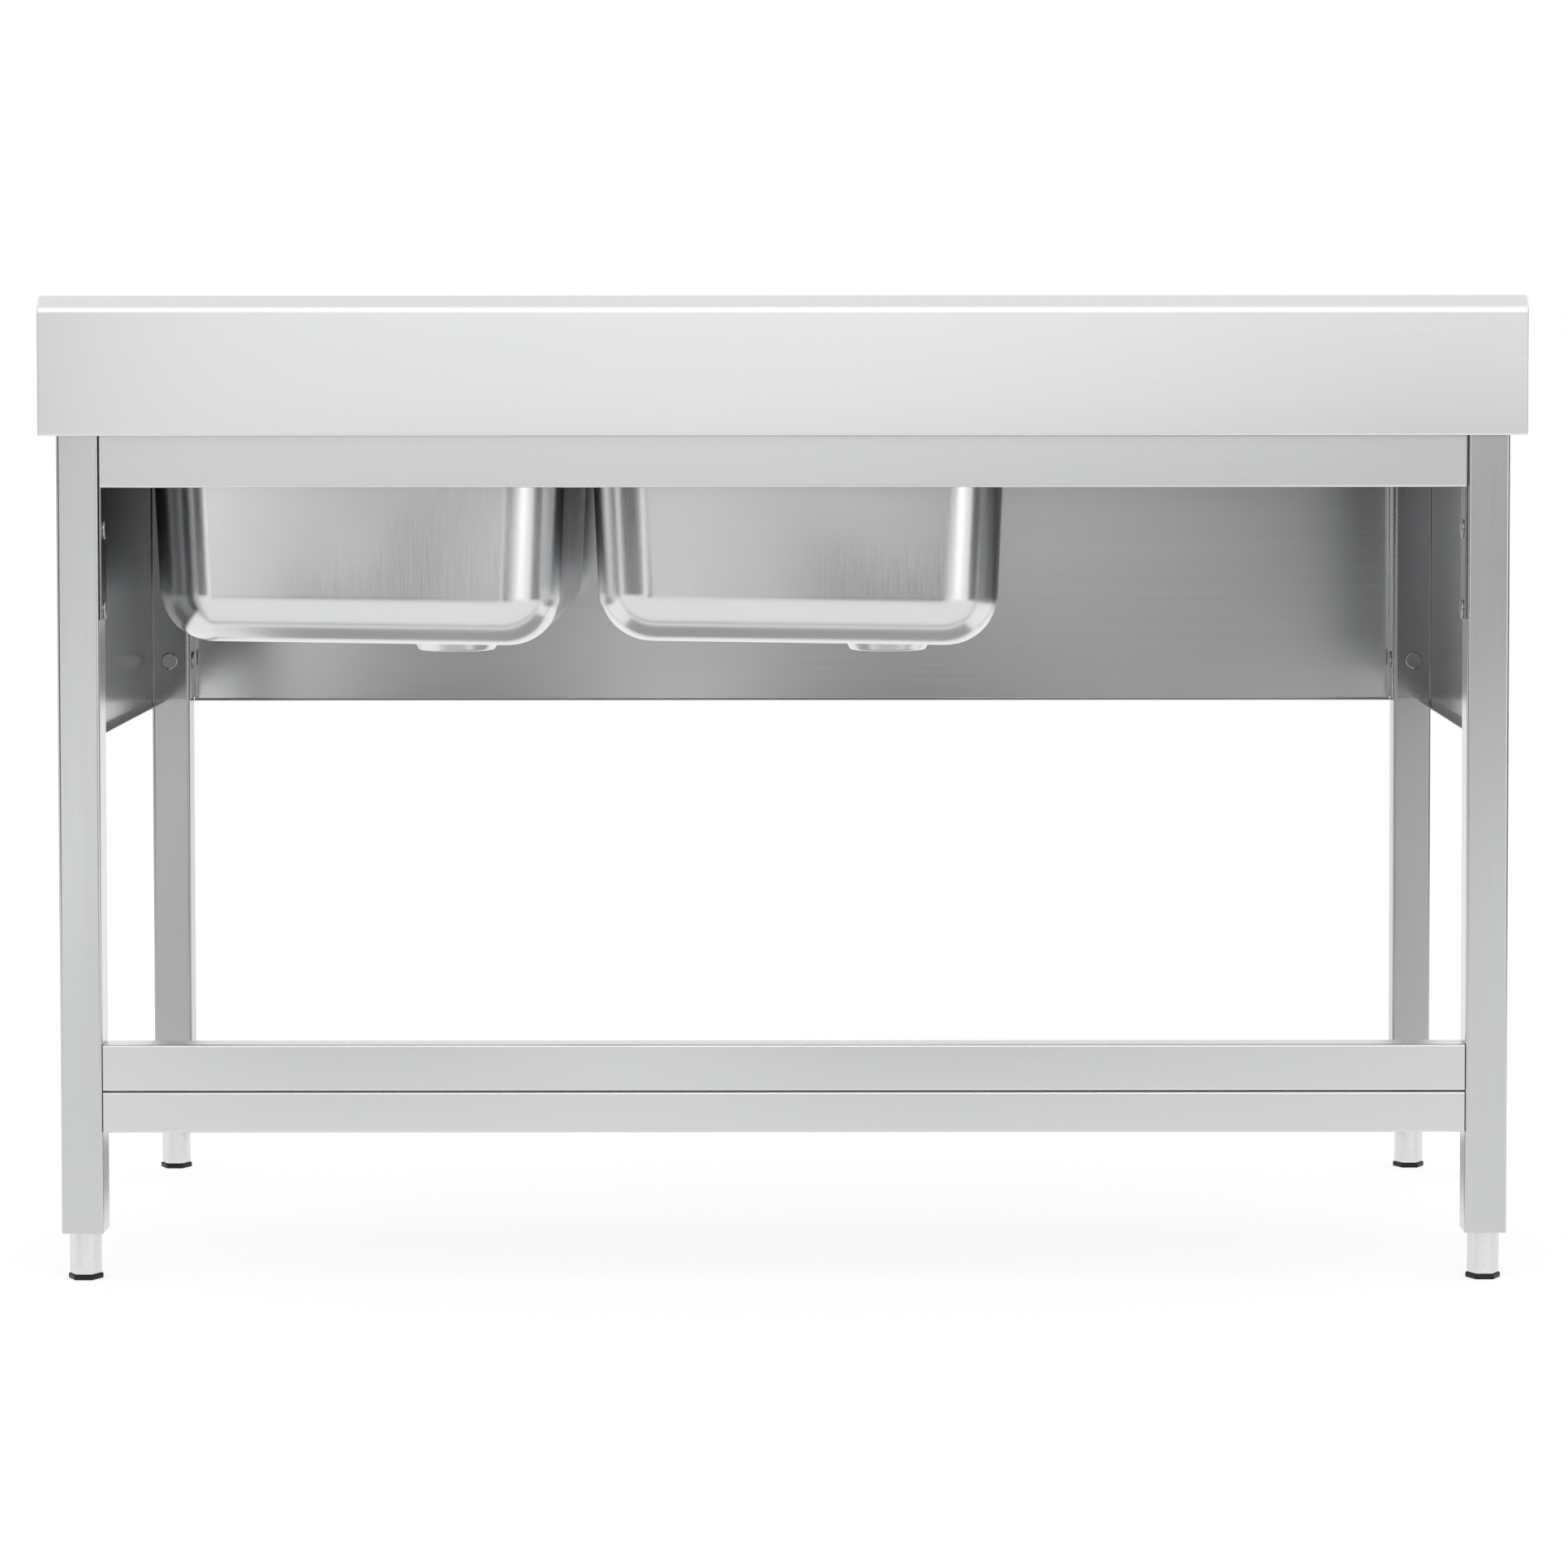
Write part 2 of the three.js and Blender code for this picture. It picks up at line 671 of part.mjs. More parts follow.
function nutShape() {
  return toGeometry(cut(
    toSolid(prism(nutSize / Math.sqrt(3), 6, plugShelf + seat, plugShelf + seat + nutHeight)),
    upright(0, 0, footThread + 2 * seat, threadSides, plugShelf - 1, plugTop + 2),
  ));
}

function spindleShape() {
  const bottom = padHeight - padPocket + seat;
  const tip = 1;
  return toGeometry(turned([
    [0, bottom],
    [footThread / 2, bottom],
    [footThread / 2, spindleTop - tip],
    [footThread / 2 - tip, spindleTop],
    [0, spindleTop],
  ], threadSides));
}

function sleeveShape() {
  const bottom = padHeight + seat;
  const outer = sleeveDiameter / 2;
  const thread = footThread / 2 + seat;
  const body = turned([
    [thread, bottom],
    [outer, bottom],
    [outer, sleeveTop],
    [outer - sleeveWall, sleeveTop],
    [outer - sleeveWall, bottom + sleeveFloor],
    [thread, bottom + sleeveFloor],
    [thread, bottom],
  ], roundSides);
  const flats = cut(
    upright(0, 0, sleeveDiameter + 4, 12, bottom - 1, bottom + wrenchHeight),
    toSolid(prism(wrenchSize / Math.sqrt(3), 6, bottom - 2, bottom + wrenchHeight + 1)),
  );
  return toGeometry(cut(body, flats));
}

function padShape() {
  const corner = padAcross / 2;
  const chamfered = turned([
    [0, 0],
    [corner - padChamfer, 0],
    [corner, padChamfer],
    [corner, padHeight - padChamfer],
    [corner - padChamfer, padHeight],
    [0, padHeight],
  ], 6).rotate([0, 0, 30]);
  return toGeometry(cut(chamfered,
    upright(0, 0, footThread + 2 * seat, threadSides, padHeight - padPocket, padHeight + 1)));
}

function addFoot(corner, x, y) {
  const foot = new THREE.Group();
  foot.position.set(x, y, 0);
  unit.add(foot);
  place(`foot_plug_${corner}`, plugShape(), blackPlastic, foot);
  place(`foot_nut_${corner}`, nutShape(), zincSteel, foot);
  place(`foot_spindle_${corner}`, spindleShape(), zincSteel, foot);
  place(`foot_sleeve_${corner}`, sleeveShape(), satinFoot, foot);
  place(`foot_pad_${corner}`, padShape(), blackPlastic, foot);
}

function addLegs() {
  for (const [hand, side] of [['left', -1], ['right', 1]]) {
    for (const [end, y] of [['front', frontLegY], ['rear', rearLegY]]) {
      addLeg(`leg_${end}_${hand}`, side * legX, y);
      addFoot(`${end}_${hand}`, side * legX, y);
    }
  }
}

// ---------------------------------------------------------------- panels
// The straight part of a panel stands between two notches, above its hem and below its
// top flange.
const panelWeb = [panelBottom + foldRelief, frameTop - foldRelief];

function panelEdges(axis, face, inward, from, to) {
  const half = panelSheet / 2;
  const middle = face + inward * half;
  const hem = bentSheet([
    [face + inward * hemReach, panelBottom + half],
    [middle, panelBottom + half],
    [middle, panelWeb[0] + panelFold],
  ], panelSheet, panelFold);
  const top = bentSheet([
    [face + inward * topFlangeReach, frameTop - half],
    [middle, frameTop - half],
    [middle, panelWeb[1] - panelFold],
  ], panelSheet, panelFold);
  return join(extrude(axis, hem, from, to), extrude(axis, top, from, to));
}

function addSidePanel(name, side) {
  const half = panelSheet / 2;
  const front = frontLegBack + seat;
  const rear = rearLegFront - seat;
  const x = (distance) => side * distance;
  const web = bentSheet([
    [x(legOuter - flangeReach), front + half],
    [x(legOuter - half), front + half],
    [x(legOuter - half), rear - half],
    [x(legOuter - flangeReach), rear - half],
  ], panelSheet, panelFold);
  const relief = [front - 1, rear + 1].map((y) => new THREE.Vector3(x(panelScrewX + 5), y,
    panelWeb[0] + reliefHole));
  const solid = cut(
    join(extrude('z', web, ...panelWeb), panelEdges('y', x(legOuter), -side, front, rear)),
    ...screwHoles('part', name),
    rod(relief[0], relief[1], reliefHole, 8),
  );
  place(name, toGeometry(solid), brushedSteel);
}

function addFrontApron() {
  const half = panelSheet / 2;
  const end = legInner - seat;
  const back = frontLegFront + flangeReach;
  const web = bentSheet([
    [-end + half, back],
    [-end + half, frontLegFront + half],
    [end - half, frontLegFront + half],
    [end - half, back],
  ], panelSheet, panelFold);
  const solid = cut(
    join(extrude('z', web, ...panelWeb), panelEdges('x', frontLegFront, 1, -end, end)),
    ...screwHoles('part', 'front_apron'),
  );
  place('front_apron', toGeometry(solid), brushedSteel);
}

// ---------------------------------------------------------------- rails
// A channel with its back flush with the rear legs, open towards the front.
function channel(bottom, top, end) {
  const half = railSheet / 2;
  const section = bentSheet([
    [railFront, top - half],
    [rearLegBack - half, top - half],
    [rearLegBack - half, bottom + half],
    [railFront, bottom + half],
  ], railSheet, railFold);
  return extrude('x', section, -end, end);
}

function addRearRail() {
  const end = legInner - rearRailGap;
  const notch = bracketPlateInner - seat;
  const behind = rearLegBack - railSheet;
  const notches = [-1, 1].map((side) => block([side * notch, side * (end + 1)],
    [railFront - 1, behind], [rearRailBottom - 1, frameTop + 1]));
  place('rear_rail', toGeometry(cut(channel(rearRailBottom, frameTop, end), ...notches)),
    brushedSteel);
}

function addRearBracket(name, side) {
  const back = rearLegBack - railSheet - seat;
  const plateX = [side * bracketPlateInner, side * (legInner - seat)];
  const tabX = [side * (legInner - seat), side * (legInner - seat - bracketTab)];
  const top = frameTop - railFold - seat;
  const solid = cut(
    join(
      block(plateX, [back - bracketWidth, back], [bracketBottom, top]),
      block(tabX, [back - bracketSheet, back], [rearRailBottom + railFold + seat, top]),
    ),
    ...screwHoles('part', name),
  );
  place(name, toGeometry(solid), brushedSteel);
}

function addBrace(level, bottom, height) {
  const end = legInner - braceGap;
  const tabs = [-1, 1].map((side) => block([side * (end - railSheet), side * end],
    [railFront, rearLegBack - railSheet / 2],
    [bottom + railSheet / 2, bottom + height - railSheet / 2]));
  const solid = cut(join(channel(bottom, bottom + height, end), ...tabs),
    ...screwHoles('part', `brace_${level}`));
  place(`brace_${level}`, toGeometry(solid), brushedSteel);
}

// ---------------------------------------------------------------- assembly
addWorktop();
addStiffeners();
addBowl('right_bowl', rightBowlX);
addBowl('left_bowl', leftBowlX);
addLegs();
addSidePanel('side_panel_left', -1);
addSidePanel('side_panel_right', 1);
addFrontApron();
addRearRail();
addRearBracket('rear_bracket_left', -1);
addRearBracket('rear_bracket_right', 1);
for (const [level, bottom, height] of braceChannels()) addBrace(level, bottom, height);
addScrews();

export default unit;
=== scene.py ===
# %% [markdown]
# # A stainless sink unit, seen from its wall side
# The real unit is folded from thin stainless sheet: a worktop with a wall upstand, two drawn
# bowls and a drainer, carried by four square legs on adjustable feet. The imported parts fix
# every size and place. Here each sheet-metal piece is modelled again with the softer folds
# and thinner edges that a real press brake leaves, and every piece gets its own finish.

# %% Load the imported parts
import math

import bmesh
import bpy
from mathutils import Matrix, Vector


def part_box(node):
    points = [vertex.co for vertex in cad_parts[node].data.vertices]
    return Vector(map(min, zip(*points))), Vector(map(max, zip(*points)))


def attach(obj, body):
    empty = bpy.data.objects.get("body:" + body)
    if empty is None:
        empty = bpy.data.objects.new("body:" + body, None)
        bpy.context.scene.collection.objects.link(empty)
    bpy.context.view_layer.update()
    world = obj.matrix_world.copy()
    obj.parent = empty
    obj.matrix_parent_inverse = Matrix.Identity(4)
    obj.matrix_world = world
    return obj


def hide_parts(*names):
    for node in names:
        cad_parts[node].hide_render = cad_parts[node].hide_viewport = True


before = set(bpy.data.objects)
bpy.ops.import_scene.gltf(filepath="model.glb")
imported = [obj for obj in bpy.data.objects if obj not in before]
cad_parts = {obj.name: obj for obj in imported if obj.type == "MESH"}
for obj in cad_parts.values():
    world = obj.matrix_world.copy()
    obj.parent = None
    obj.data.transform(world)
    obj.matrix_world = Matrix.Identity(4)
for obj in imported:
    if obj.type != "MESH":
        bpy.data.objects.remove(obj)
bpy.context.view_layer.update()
mm = 0.001

# %% [markdown]
# ## Working by hand, in code
# Blender's operators act on whatever is open and selected. So one helper opens a piece, and
# three more select its faces, edges or points by where they are and which way they look.

# %% Open a piece and select on it
def put_down():
    """Leaves edit mode, with nothing selected."""
    if bpy.context.mode != "OBJECT":
        bpy.ops.object.mode_set(mode="OBJECT")
    bpy.ops.object.select_all(action="DESELECT")


def work_on(piece, mode="EDIT"):
    """Opens one piece, with everything else deselected."""
    put_down()
    piece.select_set(True)
    bpy.context.view_layer.objects.active = piece
    bpy.ops.object.mode_set(mode=mode)


def select(piece, kind, test):
    """Selects the faces, edges or points that pass a test, and counts them."""
    work_on(piece)
    bpy.ops.mesh.select_mode(type=kind)
    bpy.ops.mesh.select_all(action="DESELECT")
    shape = bmesh.from_edit_mesh(piece.data)
    found = {"VERT": shape.verts, "EDGE": shape.edges, "FACE": shape.faces}[kind]
    chosen = [item for item in found if test(item)]
    for item in chosen:
        item.select_set(True)
    bmesh.update_edit_mesh(piece.data)
    return len(chosen)


def pick_faces(piece, test):
    """Selects faces by a test of their middle and the way they look."""
    return select(piece, "FACE", lambda f: test(f.calc_center_median(), f.normal))


def pick_edges(piece, test):
    """Selects edges by a test of their middle and their direction."""
    def passes(edge):
        start, end = (v.co for v in edge.verts)
        return test((start + end) / 2, (end - start).normalized())
    return select(piece, "EDGE", passes)


def pick_points(piece, test):
    return select(piece, "VERT", lambda v: test(v.co))


def pick_folds(piece, least, most, test=lambda at: True):
    """Selects edges whose two faces meet at an angle between two limits, in degrees."""
    def passes(edge):
        if len(edge.link_faces) != 2:
            return False
        turn = math.degrees(edge.calc_face_angle())
        return least < turn < most and test((edge.verts[0].co + edge.verts[1].co) / 2)
    return select(piece, "EDGE", passes)


def near(a, b, slack=0.05 * mm):
    return abs(a - b) < slack


# %% [markdown]
# ## From a block to a sheet
# A folded sheet is easiest to reach from a block: the block's outside is the sheet's outside,
# the faces that the sheet leaves open are deleted, the folds are bevelled and Solidify gives
# the wall its thickness towards the inside. Boolean cutters do what a punch does.

# %% Blocks, round bars, folds, walls and punches
def placed(name):
    """Names the new primitive and puts its place and size into its mesh."""
    piece = bpy.context.object
    piece.name = piece.data.name = name
    bpy.ops.object.transform_apply(location=True, rotation=True, scale=True)
    return piece


def block(name, low, high):
    low, high = Vector(low), Vector(high)
    put_down()
    bpy.ops.mesh.primitive_cube_add(size=1, location=(low + high) / 2, scale=high - low)
    return placed(name)


def bar(name, foot, radius, height, sides, turn=(0, 0, 0), tip=None):
    """A round or many-sided bar, which stands on its foot before it is turned."""
    put_down()
    bpy.ops.mesh.primitive_cone_add(
        vertices=sides, radius1=radius, radius2=radius if tip is None else tip,
        depth=height, location=Vector(foot) + Vector((0, 0, height / 2)), rotation=turn)
    return placed(name)


def fold(width, steps):
    """Rounds the selected edges."""
    bpy.ops.mesh.bevel(offset=width, segments=steps, affect="EDGES", clamp_overlap=False)


def drop_faces(piece, test):
    pick_faces(piece, test)
    bpy.ops.mesh.delete(type="FACE")


def split(piece, axis, place):
    """Draws a line round the whole piece, square to an axis."""
    work_on(piece)
    bpy.ops.mesh.select_all(action="SELECT")
    spot, normal = Vector(), Vector()
    spot[axis], normal[axis] = place, 1
    bpy.ops.mesh.bisect(plane_co=spot, plane_no=normal)


def apply_modifier(piece, kind, **settings):
    work_on(piece, "OBJECT")
    modifier = piece.modifiers.new(kind.lower(), kind)
    for setting, value in settings.items():
        setattr(modifier, setting, value)
    bpy.ops.object.modifier_apply(modifier=modifier.name)


def give_wall(piece, thickness, inside=0):
    """Gives an open shell its wall, inwards. The inside may take another material slot."""
    apply_modifier(piece, "SOLIDIFY", thickness=thickness, offset=-1, use_even_offset=True,
                   use_quality_normals=True, material_offset=inside)


def punch(piece, tool, operation="DIFFERENCE"):
    """Cuts a tool out of a piece, or joins it on, and throws the tool away."""
    apply_modifier(piece, "BOOLEAN", object=tool, operation=operation, solver="EXACT")
    bpy.data.objects.remove(tool)


def smooth(piece, angle=32):
    """Shades round parts smooth and keeps flat parts flat."""
    work_on(piece, "OBJECT")
    bpy.ops.object.shade_smooth_by_angle(angle=math.radians(angle))
    apply_modifier(piece, "WEIGHTED_NORMAL", keep_sharp=True)


def copy_of(piece, name, shift=(0, 0, 0)):
    work_on(piece, "OBJECT")
    bpy.ops.object.duplicate(linked=False)
    bpy.ops.transform.translate(value=shift)
    return placed(name)


def hand_over(piece, body, slot, *nodes):
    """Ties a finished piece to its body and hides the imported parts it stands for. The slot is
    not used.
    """
    work_on(piece, "OBJECT")
    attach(piece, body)
    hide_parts(*nodes)
    print(f"{piece.name}: {len(piece.data.polygons)} faces for {', '.join(nodes)}")


# %% [markdown]
# ## The drawn bowls
# A press draws each bowl from one sheet: walls that lean in a little so that the punch comes
# out, a wide roll into the floor, and a floor that falls towards the drain. A block gets that
# shape with one scaled face, one turned face and two bevels.

# %% Shape the bowl's block
bowl_sheet = 1 * mm
bowl_draft = math.radians(2.3)
bowl_fall = 0.015
bowl_floor = 597 * mm
bowl_corner = 57 * mm
bowl_roll = 49 * mm
floor_slack = 6 * mm

low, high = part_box("right_bowl")
bowl = block("right_bowl_drawn", (low.x, low.y, bowl_floor), high)
floor_middle = Vector(((low.x + high.x) / 2, (low.y + high.y) / 2, bowl_floor))
lean = 2 * (high.z - bowl_floor) * math.tan(bowl_draft)
pick_faces(bowl, lambda at, out: out.z < -0.9)
bpy.ops.transform.resize(value=(1 - lean / (high.x - low.x), 1 - lean / (high.y - low.y), 1),
                         center_override=floor_middle)
bpy.ops.transform.rotate(value=math.atan(bowl_fall), orient_axis="Y",
                         center_override=floor_middle)
pick_edges(bowl, lambda at, along: abs(along.z) > 0.9)
fold(bowl_corner, 14)
pick_edges(bowl, lambda at, along: at.z < bowl_floor + floor_slack and abs(along.z) < 0.5)
fold(bowl_roll, 12)
work_on(bowl, "OBJECT")
floor_levels = [v.co.z for v in bowl.data.vertices if v.co.z < bowl_floor + 4 * mm]
print("bowl floor from", round(min(floor_levels), 4), "to", round(max(floor_levels), 4))

# %% [markdown]
# The drain seat is a shallow cone pressed out of the floor, with a 52 mm hole for the waste
# fitting. The cone is joined to the block while both are still solid, so that the bevel
# round it runs all the way, and the bowl is opened afterwards.

# %% Press the drain seat and open the bowl
drain_aside, drain_back = -88 * mm, 115 * mm
drain = floor_middle + Vector((drain_aside, drain_back, 0))
drain_foot = low.z
drain_drop = 10 * mm
seat_radius, step_radius, hole_radius = 37.5 * mm, 43 * mm, 26 * mm
step_edge, seat_edge = 2.5 * mm, 2 * mm
overlap = 3 * mm
widening = (step_radius - seat_radius) / drain_drop
cone = bar("drain_seat", (drain.x, drain.y, drain_foot), seat_radius, drain_drop + overlap, 72,
           tip=step_radius + overlap * widening)
punch(bowl, cone, "UNION")


def from_drain(at):
    return math.hypot(at.x - drain.x, at.y - drain.y)


pick_edges(bowl, lambda at, along: abs(from_drain(at) - step_radius) < 1.5 * mm
           and abs(at.z - drain_foot - drain_drop) < 2 * mm and abs(along.z) < 0.3)
fold(step_edge, 3)
pick_edges(bowl, lambda at, along: near(at.z, drain_foot) and abs(along.z) < 0.1)
fold(seat_edge, 3)
pick_faces(bowl, lambda at, out: out.z < -0.99 and near(at.z, drain_foot))
bpy.ops.mesh.inset(thickness=seat_radius - seat_edge - hole_radius)
drop_faces(bowl, lambda at, out: out.z < -0.99 and near(at.z, drain_foot)
           and from_drain(at) < 1 * mm)
drop_faces(bowl, lambda at, out: out.z > 0.99 and near(at.z, high.z))
give_wall(bowl, bowl_sheet)
smooth(bowl)
to_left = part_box("left_bowl")[0].x - low.x
left_bowl = copy_of(bowl, "left_bowl_drawn", (to_left, 0, 0))
hand_over(bowl, "frame", "bowl_steel", "right_bowl")
hand_over(left_bowl, "frame", "bowl_steel", "left_bowl")

# %% [markdown]
# ## The worktop
# The worktop is one sheet: a deck with a pressed field, a grooved drainer, two cut-outs with
# turned-down rims, skirts with a hem inside, and an upstand that is closed at its back. It is
# built as a block with all of the outside shape, in the order in which the press works, and
# becomes a sheet at the very end.

# %% Raise the upstand from the deck's block
deck_top = 838.5 * mm
skirt_bottom = 803.5 * mm
upstand_front = 335 * mm
upstand_flat, upstand_slope = 5.5 * mm, 14 * mm
deck_sheet = 1.2 * mm
deck_fold = 3.2 * mm
sheet_corner = 4 * mm

low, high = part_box("worktop")
deck = block("worktop_sheet", low, (high.x, high.y, deck_top))
split(deck, 1, upstand_front)
pick_faces(deck, lambda at, out: out.z > 0.9 and at.y > upstand_front)
for rise in (high.z - upstand_slope - deck_top, upstand_slope):
    bpy.ops.mesh.extrude_region_move(TRANSFORM_OT_translate={"value": (0, 0, rise)})
pick_points(deck, lambda at: near(at.z, high.z) and near(at.y, high.y))
bpy.ops.transform.translate(value=(0, upstand_front + upstand_flat - high.y, 0))

pick_edges(deck, lambda at, along: abs(along.z) > 0.9 and at.y < 0)
fold(sheet_corner, 6)
pick_edges(deck, lambda at, along: near(at.z, deck_top) and at.y < upstand_front - 1 * mm)
fold(deck_fold, 5)
slope_foot = high.z - upstand_slope
widest = 4 * mm
end_edge, top_edge = 1 * mm, 2.6 * mm


def weigh(width):
    """Asks for a fold of this width on the selected edges, once all are asked for."""
    bpy.ops.transform.edge_bevelweight(value=-1)
    bpy.ops.transform.edge_bevelweight(value=width / widest)


def at_an_end(at):
    return near(abs(at.x), high.x) and at.z > skirt_bottom + 1 * mm


pick_folds(deck, 80, 100, lambda at: at_an_end(at) and (at.z > deck_top or near(at.y, high.y)))
weigh(end_edge)
pick_folds(deck, 80, 100, lambda at: at_an_end(at) and at.z > slope_foot + 0.1 * mm)
weigh(widest)
pick_edges(deck, lambda at, along: near(at.z, slope_foot) and near(at.y, high.y))
weigh(widest)
pick_edges(deck, lambda at, along: near(at.z, high.z) and abs(along.x) > 0.9)
weigh(top_edge)
apply_modifier(deck, "BEVEL", width=widest, segments=5, limit_method="WEIGHT",
               use_clamp_overlap=False)
print("worktop block:", len(deck.data.polygons), "faces")

# %% [markdown]
# The field is pressed 6 mm below the deck with sloping edges, so that water stays on the
# worktop. Its cutter is a rounded block with an inset face pushed down: the inset gives the
# slope, also round the corners. All slopes here stand at 45 degrees, which makes their edges
# easy to find and soften.

# %% Press the field
field_drop = 6 * mm
field_corner = 24 * mm
field_edge = 2.4 * mm
side_border, front_border, rear_border = 60 * mm, 42 * mm, 104 * mm
tool_rise = 10 * mm
field_low = Vector((low.x + side_border, low.y + front_border, deck_top))
field_high = Vector((high.x - side_border, high.y - rear_border, deck_top + tool_rise))
field_floor = deck_top - field_drop


def press_tool(name, low, high, corner, steps, depth):
    """A block with round corners, and a foot that slopes in at 45 degrees."""
    tool = block(name, low, high)
    pick_edges(tool, lambda at, along: abs(along.z) > 0.9)
    fold(corner, steps)
    pick_faces(tool, lambda at, out: out.z < -0.9)
    bpy.ops.mesh.inset(thickness=depth, depth=depth)
    return tool


def soften(piece, width, steps, test=lambda at: True):
    """Rounds the edges of every 45 degree slope that is still sharp."""
    found = pick_folds(piece, 42, 48, test)
    fold(width, steps)
    return found


punch(deck, press_tool("field_tool", field_low, field_high, field_corner, 10, field_drop))
print("field edges softened:", soften(deck, field_edge, 3))

# %% [markdown]
# The drainer's grooves are all alike, so one tool is made and an Array modifier repeats it at
# the pitch of the grooves. The row is centred on the field.

# %% Press the drainer grooves
groove_pitch, groove_width, groove_drop = 44 * mm, 14 * mm, 3 * mm
groove_inset, groove_border, groove_edge = 14 * mm, 35 * mm, 1 * mm
groove_end = groove_width / 2 - 0.1 * mm
groove_left = field_low.x + field_drop + groove_inset
bowl_rim_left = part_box("left_bowl")[0].x + bowl_sheet
lip = 3 * mm
groove_right = bowl_rim_left - lip - groove_inset
groove_room = field_high.y - field_low.y - 2 * (field_drop + groove_border)
groove_count = math.floor(groove_room / groove_pitch) + 1
first_groove = (field_low.y + field_high.y - (groove_count - 1) * groove_pitch) / 2
grooves = press_tool(
    "groove_tool",
    (groove_left, first_groove - groove_width / 2, field_floor),
    (groove_right, first_groove + groove_width / 2, field_floor + 4 * mm),
    groove_end, 8, groove_drop)
apply_modifier(grooves, "ARRAY", count=groove_count, use_relative_offset=False,
               use_constant_offset=True, constant_offset_displace=(0, groove_pitch, 0))
punch(deck, grooves)
print("grooves:", groove_count, "edges softened:", soften(deck, groove_edge, 2))

# %% [markdown]
# Each cut-out's edge is turned down into the bowl. The cutter leaves an upright wall there,
# and a bevel rolls the field over into it.

# %% Cut out the bowls and the tap hole
rim_depth = 6.8 * mm
rim_wall_foot = field_floor - rim_depth
rim_corner = 56 * mm
rims = []
for side in ("right", "left"):
    bowl_low, bowl_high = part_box(f"{side}_bowl")
    rim_low = (bowl_low.x + bowl_sheet, bowl_low.y + bowl_sheet, rim_wall_foot)
    rim_high = (bowl_high.x - bowl_sheet, bowl_high.y - bowl_sheet, field_floor + 5 * mm)
    cutter = block(f"{side}_rim_tool", rim_low, rim_high)
    pick_edges(cutter, lambda at, along: abs(along.z) > 0.9)
    fold(rim_corner, 14)
    punch(deck, cutter)
    rims.append((rim_low, rim_high))


def on_a_rim(at):
    return any(a[0] - mm < at.x < b[0] + mm and a[1] - mm < at.y < b[1] + mm for a, b in rims)


pick_edges(deck, lambda at, along: near(at.z, field_floor) and on_a_rim(at))
fold(lip, 5)
tap = Vector((201.8 * mm, 275 * mm, deck_top - 2.5 * mm))
tap_radius = 17.5 * mm
punch(deck, bar("tap_tool", tap, tap_radius, 5 * mm, 48))

# %% [markdown]
# Now the block is opened: its underside, the floors of the two cut-outs and the tap hole's
# plug go. The lower edge is drawn inwards as a hem, which keeps fingers off the cut edge.

# %% Open the block and give the sheet its thickness
drop_faces(deck, lambda at, out: near(at.z, skirt_bottom) or near(at.z, rim_wall_foot))
drop_faces(deck, lambda at, out: at.z < deck_top - 0.1 * mm and at.y > tap.y - tap_radius
           and math.hypot(at.x - tap.x, at.y - tap.y) < tap_radius + 0.1 * mm)
hem, hem_fold = 12 * mm, 1.8 * mm
pick_edges(deck, lambda at, along: near(at.z, skirt_bottom))
bpy.ops.mesh.extrude_edges_move()
length, depth = high.x - low.x, high.y - low.y
bpy.ops.transform.resize(value=(1 - 2 * hem / length, 1 - 2 * hem / depth, 1),
                         center_override=(0, 0, skirt_bottom))
pick_folds(deck, 80, 100, lambda at: near(at.z, skirt_bottom) and
           (abs(at.x) > length / 2 - 1 * mm or abs(at.y) > depth / 2 - 1 * mm))
fold(hem_fold, 3)
give_wall(deck, deck_sheet)
smooth(deck)
hand_over(deck, "frame", "worktop_steel", "worktop")

# %% [markdown]
# Two channels are bonded under the drainer, between its grooves, so that it does not drum.
# They are short folded sheets: a block that loses its underside and its ends.

# %% Fold the drainer's stiffeners
stiffener_fold = 2.4 * mm


def channel(name, node, open_axis, open_side, fold_width, sheet, closed=False):
    """Folds a channel that fills a part's box, open at one side and mostly at its ends."""
    low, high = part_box(node)
    piece = block(name, low, high)
    web = low[open_axis] if open_side > 0 else high[open_axis]
    drop_faces(piece, lambda at, out: out[open_axis] * open_side > 0.9
               or (abs(out.x) > 0.9 and not closed))
    pick_edges(piece, lambda at, along: abs(along.x) > 0.9 and near(at[open_axis], web))
    fold(fold_width, 5)
    give_wall(piece, sheet)
    smooth(piece)
    return piece


for end in ("front", "rear"):
    node = f"drainer_stiffener_{end}"
    stiffener = channel(f"{node}_channel", node, 2, -1, stiffener_fold, deck_sheet)
    hand_over(stiffener, "frame", "frame_steel", node)

# %% [markdown]
# ## Legs
# The legs are 40 mm square tubes with small round corners, which catch the light as one thin
# bright line. One tube is made from a block without its ends, and copied to the other places.

# %% Make one tube and copy it
leg_wall = 1.5 * mm
leg_corner = 3 * mm
corners = [f"{end}_{hand}" for hand in ("left", "right") for end in ("front", "rear")]


def at_each_corner(piece, part, ending, slot, body=None):
    """Puts a copy of a piece, made for the rear left corner, at each corner."""
    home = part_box(f"{part}_rear_left")[0]
    for corner in corners:
        node = f"{part}_{corner}"
        copied = copy_of(piece, f"{node}_{ending}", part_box(node)[0] - home)
        hand_over(copied, body or f"foot_{corner}", slot, node)
    bpy.data.objects.remove(piece)


tube = block("leg_tube", *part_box("leg_rear_left"))
drop_faces(tube, lambda at, out: abs(out.z) > 0.9)
pick_edges(tube, lambda at, along: abs(along.z) > 0.9)
fold(leg_corner, 6)
give_wall(tube, leg_wall)
smooth(tube)
at_each_corner(tube, "leg", "tube", "leg_steel", "frame")

